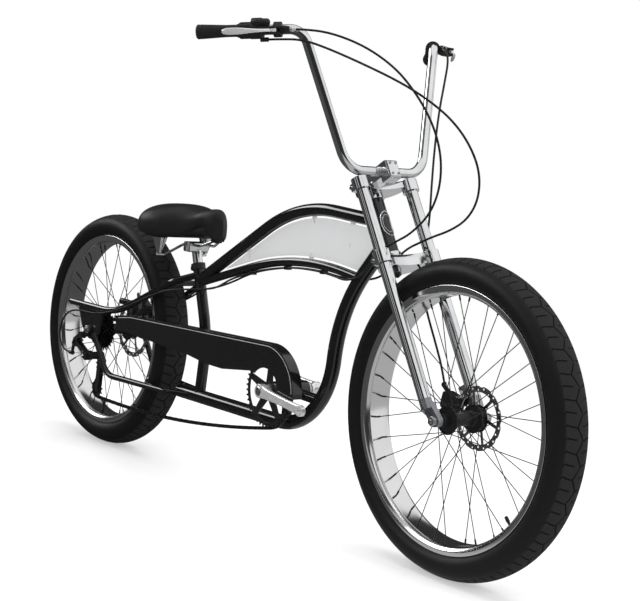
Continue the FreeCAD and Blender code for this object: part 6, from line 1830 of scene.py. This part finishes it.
    def smooth_line(self, route: Sequence) -> np.ndarray:
        """Points along the NURBS line that has a route's points as its control points.

        Args:
            route: the points, in metres.

        Returns:
            Array of n by 3 places.
        """
        curve = bpy.data.curves.new("route", "CURVE")
        curve.dimensions = "3D"
        spline = curve.splines.new("NURBS")
        spline.points.add(len(route) - 1)
        for point, spot in zip(spline.points, route):
            point.co = (*spot, 1.0)
        spline.order_u = 3
        spline.use_endpoint_u = True
        spline.resolution_u = 8
        holder = bpy.data.objects.new("route", curve)
        mesh = bpy.data.meshes.new_from_object(holder)
        line = np.empty(len(mesh.vertices) * 3)
        mesh.vertices.foreach_get("co", line)
        bpy.data.meshes.remove(mesh)
        bpy.data.objects.remove(holder)
        bpy.data.curves.remove(curve)
        return line.reshape(-1, 3)

    def sheath(self, name: str, grip: Grip, start: Sequence, route: Sequence) -> bpy.types.Object:
        """A round sheath along a route's smooth line.

        Args:
            name: the piece's name.
            grip: the grip that it leaves from.
            start: its first points in that grip's frame, in mm.
            route: the rest of its points in mm from the rear axle.

        Returns:
            The sheath.
        """
        spots = [grip.spot(*point) for point in start] + [place(*point) for point in route]
        line = self.smooth_line(spots)
        return swept(line, circle(self.radius * MM, 12), unit(self.guide)).piece(name)


# Studio
def stance(axes: np.ndarray, spot: np.ndarray) -> Matrix:
    """The matrix of an object at a spot.

    Args:
        axes: its three directions, as columns.
        spot: its place, in metres.

    Returns:
        The matrix.
    """
    matrix = np.eye(4)
    matrix[:3, :3] = axes
    matrix[:3, 3] = spot
    return Matrix(matrix.tolist())


@dataclass
class Studio:
    """Camera at the photograph's view, soft lamps, pale floor and white surround.

    Args:
        focal: focal length in pixels of the photograph's width.
        width: the photograph's width in pixels.
        azimuth: the camera's bearing, in degrees.
        elevation: the camera's height angle, in degrees.
        roll: the photograph's roll, in degrees.
        stand: the camera's place in mm from the rear axle.
        sensor: width of the camera's sensor, in mm.
        lamps: name, place in mm from the rear axle, width in metres and power in watts.
        aim: the point that the lamps face.
        floor_middle: the floor's middle, in mm from the rear axle.
        floor_far: distances from it, in metres, between which the floor turns to plain white.
        floor_glow: share of plain white nearer than that, as the camera sees it.
        floor_mirrored: the floor's grey in reflections.
        floor_front: what its front adds to that.
        floor_span: bearing of the front's middle in degrees, and cosines where it starts and is full.
        ceiling_edge: heights of direction between which the lit ceiling begins.
        lit_walls: bearing and cosines of each lit wall, as for the floor's front, and its brightness.
        canopy_edge: heights of direction between which the light over the bicycle's front begins.
        canopy_span: its bearing and cosines.
        canopy_level: its brightness, and the ceiling's.
        softbox_edge: heights of direction between which a bright lamp stands behind the rear wheel.
        softbox_fade: width of its soft edges.
        softbox_span: its bearing and cosines.
        softbox_level: its brightness.
        dim: brightness of the rest in reflections.
        fill: even light on surfaces that don't mirror.
    """

    focal: float = 1648.6
    width: float = 640.0
    azimuth: float = 51.35
    elevation: float = 6.46
    roll: float = 5.04
    stand: tuple = (3899.6, -2402.9, 961.6)
    sensor: float = 36.0
    lamps: tuple = (
        ("overhead_lamp", (915.0, 0.0, 4200.0), 4.0, 130.0),
        ("near_lamp", (2215.0, -4000.0, 2600.0), 2.4, 80.0),
        ("front_lamp", (4915.0, 1000.0, 2200.0), 2.2, 60.0),
        ("rear_lamp", (-2685.0, 2400.0, 2800.0), 2.2, 50.0),
    )
    aim: tuple = (700.0, 0.0, 450.0)
    floor_middle: tuple = (700.0, 0.0, 0.0)
    floor_far: tuple = (1.0, 2.6)
    floor_glow: float = 0.4
    floor_mirrored: float = 0.08
    floor_front: float = 0.42
    floor_span: tuple = (35.0, 0.10, 0.40)
    ceiling_edge: tuple = (0.76, 0.84)
    lit_walls: tuple = (
        (65.0, 0.62, 0.80, 0.90), (-90.0, 0.9962, 0.9985, 0.55), (-113.0, 0.9945, 0.998, 0.45),
    )
    canopy_edge: tuple = (0.44, 0.52)
    canopy_span: tuple = (22.0, 0.18, 0.26)
    canopy_level: float = 0.95
    softbox_edge: tuple = (0.33, 0.62)
    softbox_fade: float = 0.03
    softbox_span: tuple = (-148.0, 0.88, 0.93)
    softbox_level: float = 6.0
    dim: float = 0.03
    fill: float = 0.62

    def build(self) -> None:
        """Set the stage."""
        scene = bpy.context.scene
        scene.view_settings.view_transform = "Standard"
        self.camera(scene)
        self.hang_lamps(scene)
        self.floor()
        self.surround(scene)

    def camera(self, scene: bpy.types.Scene) -> None:
        """The camera: axes from its bearing, height angle and roll.

        Args:
            scene: the scene that it looks at.
        """
        az, el, roll = (math.radians(angle) for angle in (self.azimuth, self.elevation, self.roll))
        back = np.array([math.sin(az) * math.cos(el), -math.cos(az) * math.cos(el), math.sin(el)])
        right = np.array([math.cos(az), math.sin(az), 0.0])
        up = np.cross(back, right)
        axes = np.stack([math.cos(roll) * right + math.sin(roll) * up,
                         -math.sin(roll) * right + math.cos(roll) * up, back], -1)
        data = bpy.data.cameras.new("photograph_view")
        data.sensor_fit = "HORIZONTAL"
        data.sensor_width = self.sensor
        data.lens = self.focal / self.width * self.sensor
        data.clip_end = 200.0
        obj = bpy.data.objects.new("photograph_view", data)
        scene.collection.objects.link(obj)
        obj.matrix_world = stance(axes, place(*self.stand))
        scene.camera = obj

    def hang_lamps(self, scene: bpy.types.Scene) -> None:
        """Large soft lamps, kept out of reflections: overhead, on each side of the camera and behind.

        Args:
            scene: the scene that they light.
        """
        for name, where, size, power in self.lamps:
            spot = place(*where)
            data = bpy.data.lights.new(name, "AREA")
            data.size = size
            data.energy = power
            obj = bpy.data.objects.new(name, data)
            scene.collection.objects.link(obj)
            back = unit(spot - place(*self.aim))
            obj.matrix_world = stance(np.stack([*square_pair(back), back], -1), spot)
            obj.visible_glossy = False

    def floor(self) -> None:
        """A pale floor disc that keeps the shadow under a white surround and looks grey in reflections.

        Its white for the camera is a step of the distance from its middle, and its grey in
        reflections is a step of the bearing from its front.
        """
        middle = place(*self.floor_middle)
        radius = np.array([0.0, 2.0, 6.0, 40.0])[:, None]
        turn = np.linspace(0.0, 2 * np.pi, 64, endpoint=False)[None]
        points = np.stack([radius * np.cos(turn), radius * np.sin(turn), 0 * radius * turn], -1)
        obj = sheet_of(points + middle, False, True).piece("studio_floor")
        shader = Shader("pale_floor")
        shader.set(Base_Color=(0.92, 0.92, 0.92), Roughness=0.9, Specular_IOR_Level=0.0)
        x, y, _ = shader.axes()
        x, y = x - middle[0], y - middle[1]
        far = ((x * x + y * y) ** 0.5).step(*self.floor_far)
        share = self.floor_glow + (1.0 - self.floor_glow) * far
        shader.glow_over(shader.ray("Is Camera Ray") * share, (1.0, 1.0, 1.0))
        grey = self.floor_mirrored + self.sector(shader, x, y, *self.floor_span) * self.floor_front
        shader.glow_over(shader.ray("Is Glossy Ray"), grey)
        obj.data.materials.append(shader.material)

    def surround(self, scene: bpy.types.Scene) -> None:
        """White for the camera, lit walls and ceiling for reflections, and an even fill for the rest.

        Each lit stretch is a step of the cosine of the bearing from its middle, and the ceiling is a
        step of the height.

        Args:
            scene: the scene that it stands round.
        """
        world = bpy.data.worlds.new("white_surround")
        world.use_nodes = True
        scene.world = world
        nodes = Nodes(world.node_tree)
        camera = nodes.ray("Is Camera Ray")
        mirror = nodes.math("MAXIMUM", nodes.ray("Is Glossy Ray"), nodes.ray("Is Transmission Ray"))
        x, y, z = nodes.axes("Generated")
        canopy = z.step(*self.canopy_edge) * self.sector(nodes, x, y, *self.canopy_span)
        studio = nodes.math("MAXIMUM", canopy, z.step(*self.ceiling_edge)) * self.canopy_level
        for *span, level in self.lit_walls:
            studio = nodes.math("MAXIMUM", studio, self.sector(nodes, x, y, *span) * level)
        low, high = self.softbox_edge
        softbox = z.step(low, low + self.softbox_fade) * (1.0 - z.step(high - self.softbox_fade, high))
        softbox = softbox * self.sector(nodes, x, y, *self.softbox_span)
        studio = nodes.math("MAXIMUM", studio, softbox * self.softbox_level) + self.dim
        strength = camera + (1.0 - camera) * (mirror * studio + (1.0 - mirror) * self.fill)
        background = nodes.add("ShaderNodeBackground", None,
                               {"Color": (1.0, 1.0, 1.0), "Strength": strength})
        output = nodes.tree.nodes.new("ShaderNodeOutputWorld")
        nodes.feed(output.inputs["Surface"], background)

    @staticmethod
    def sector(nodes: Nodes, x: Value, y: Value, middle: float, dark: float, bright: float) -> Value:
        """A stretch of bearings as a step of the cosine from its middle.

        Args:
            nodes: the tree to add to.
            x: the direction's first axis.
            y: its second axis.
            middle: bearing of the stretch's middle, in degrees.
            dark: cosine at which the stretch starts.
            bright: cosine at which it is full.

        Returns:
            0 outside the stretch and 1 inside.
        """
        bearing = nodes.math("ARCTAN2", y, x)
        return nodes.math("COSINE", bearing - math.radians(middle)).step(dark, bright)


def main() -> None:
    """Build the studio and every sub-assembly in order."""
    logging.basicConfig(level=logging.INFO, format="%(name)s: %(message)s")
    Studio().build()
    Cables().build()
    Wheel("front", FRONT_AXLE, bead=279.5, disc_y=53.0, valve_angle=313.6, periods=41).build()
    Wheel("rear", REAR_AXLE, bead=253.5, disc_y=57.0, valve_angle=261.2, periods=38).build()
    FrameTubes().build()
    Saddle().build()
    Drive().build()
    ForkAndBars().build()


if __name__ == "__main__":
    main()
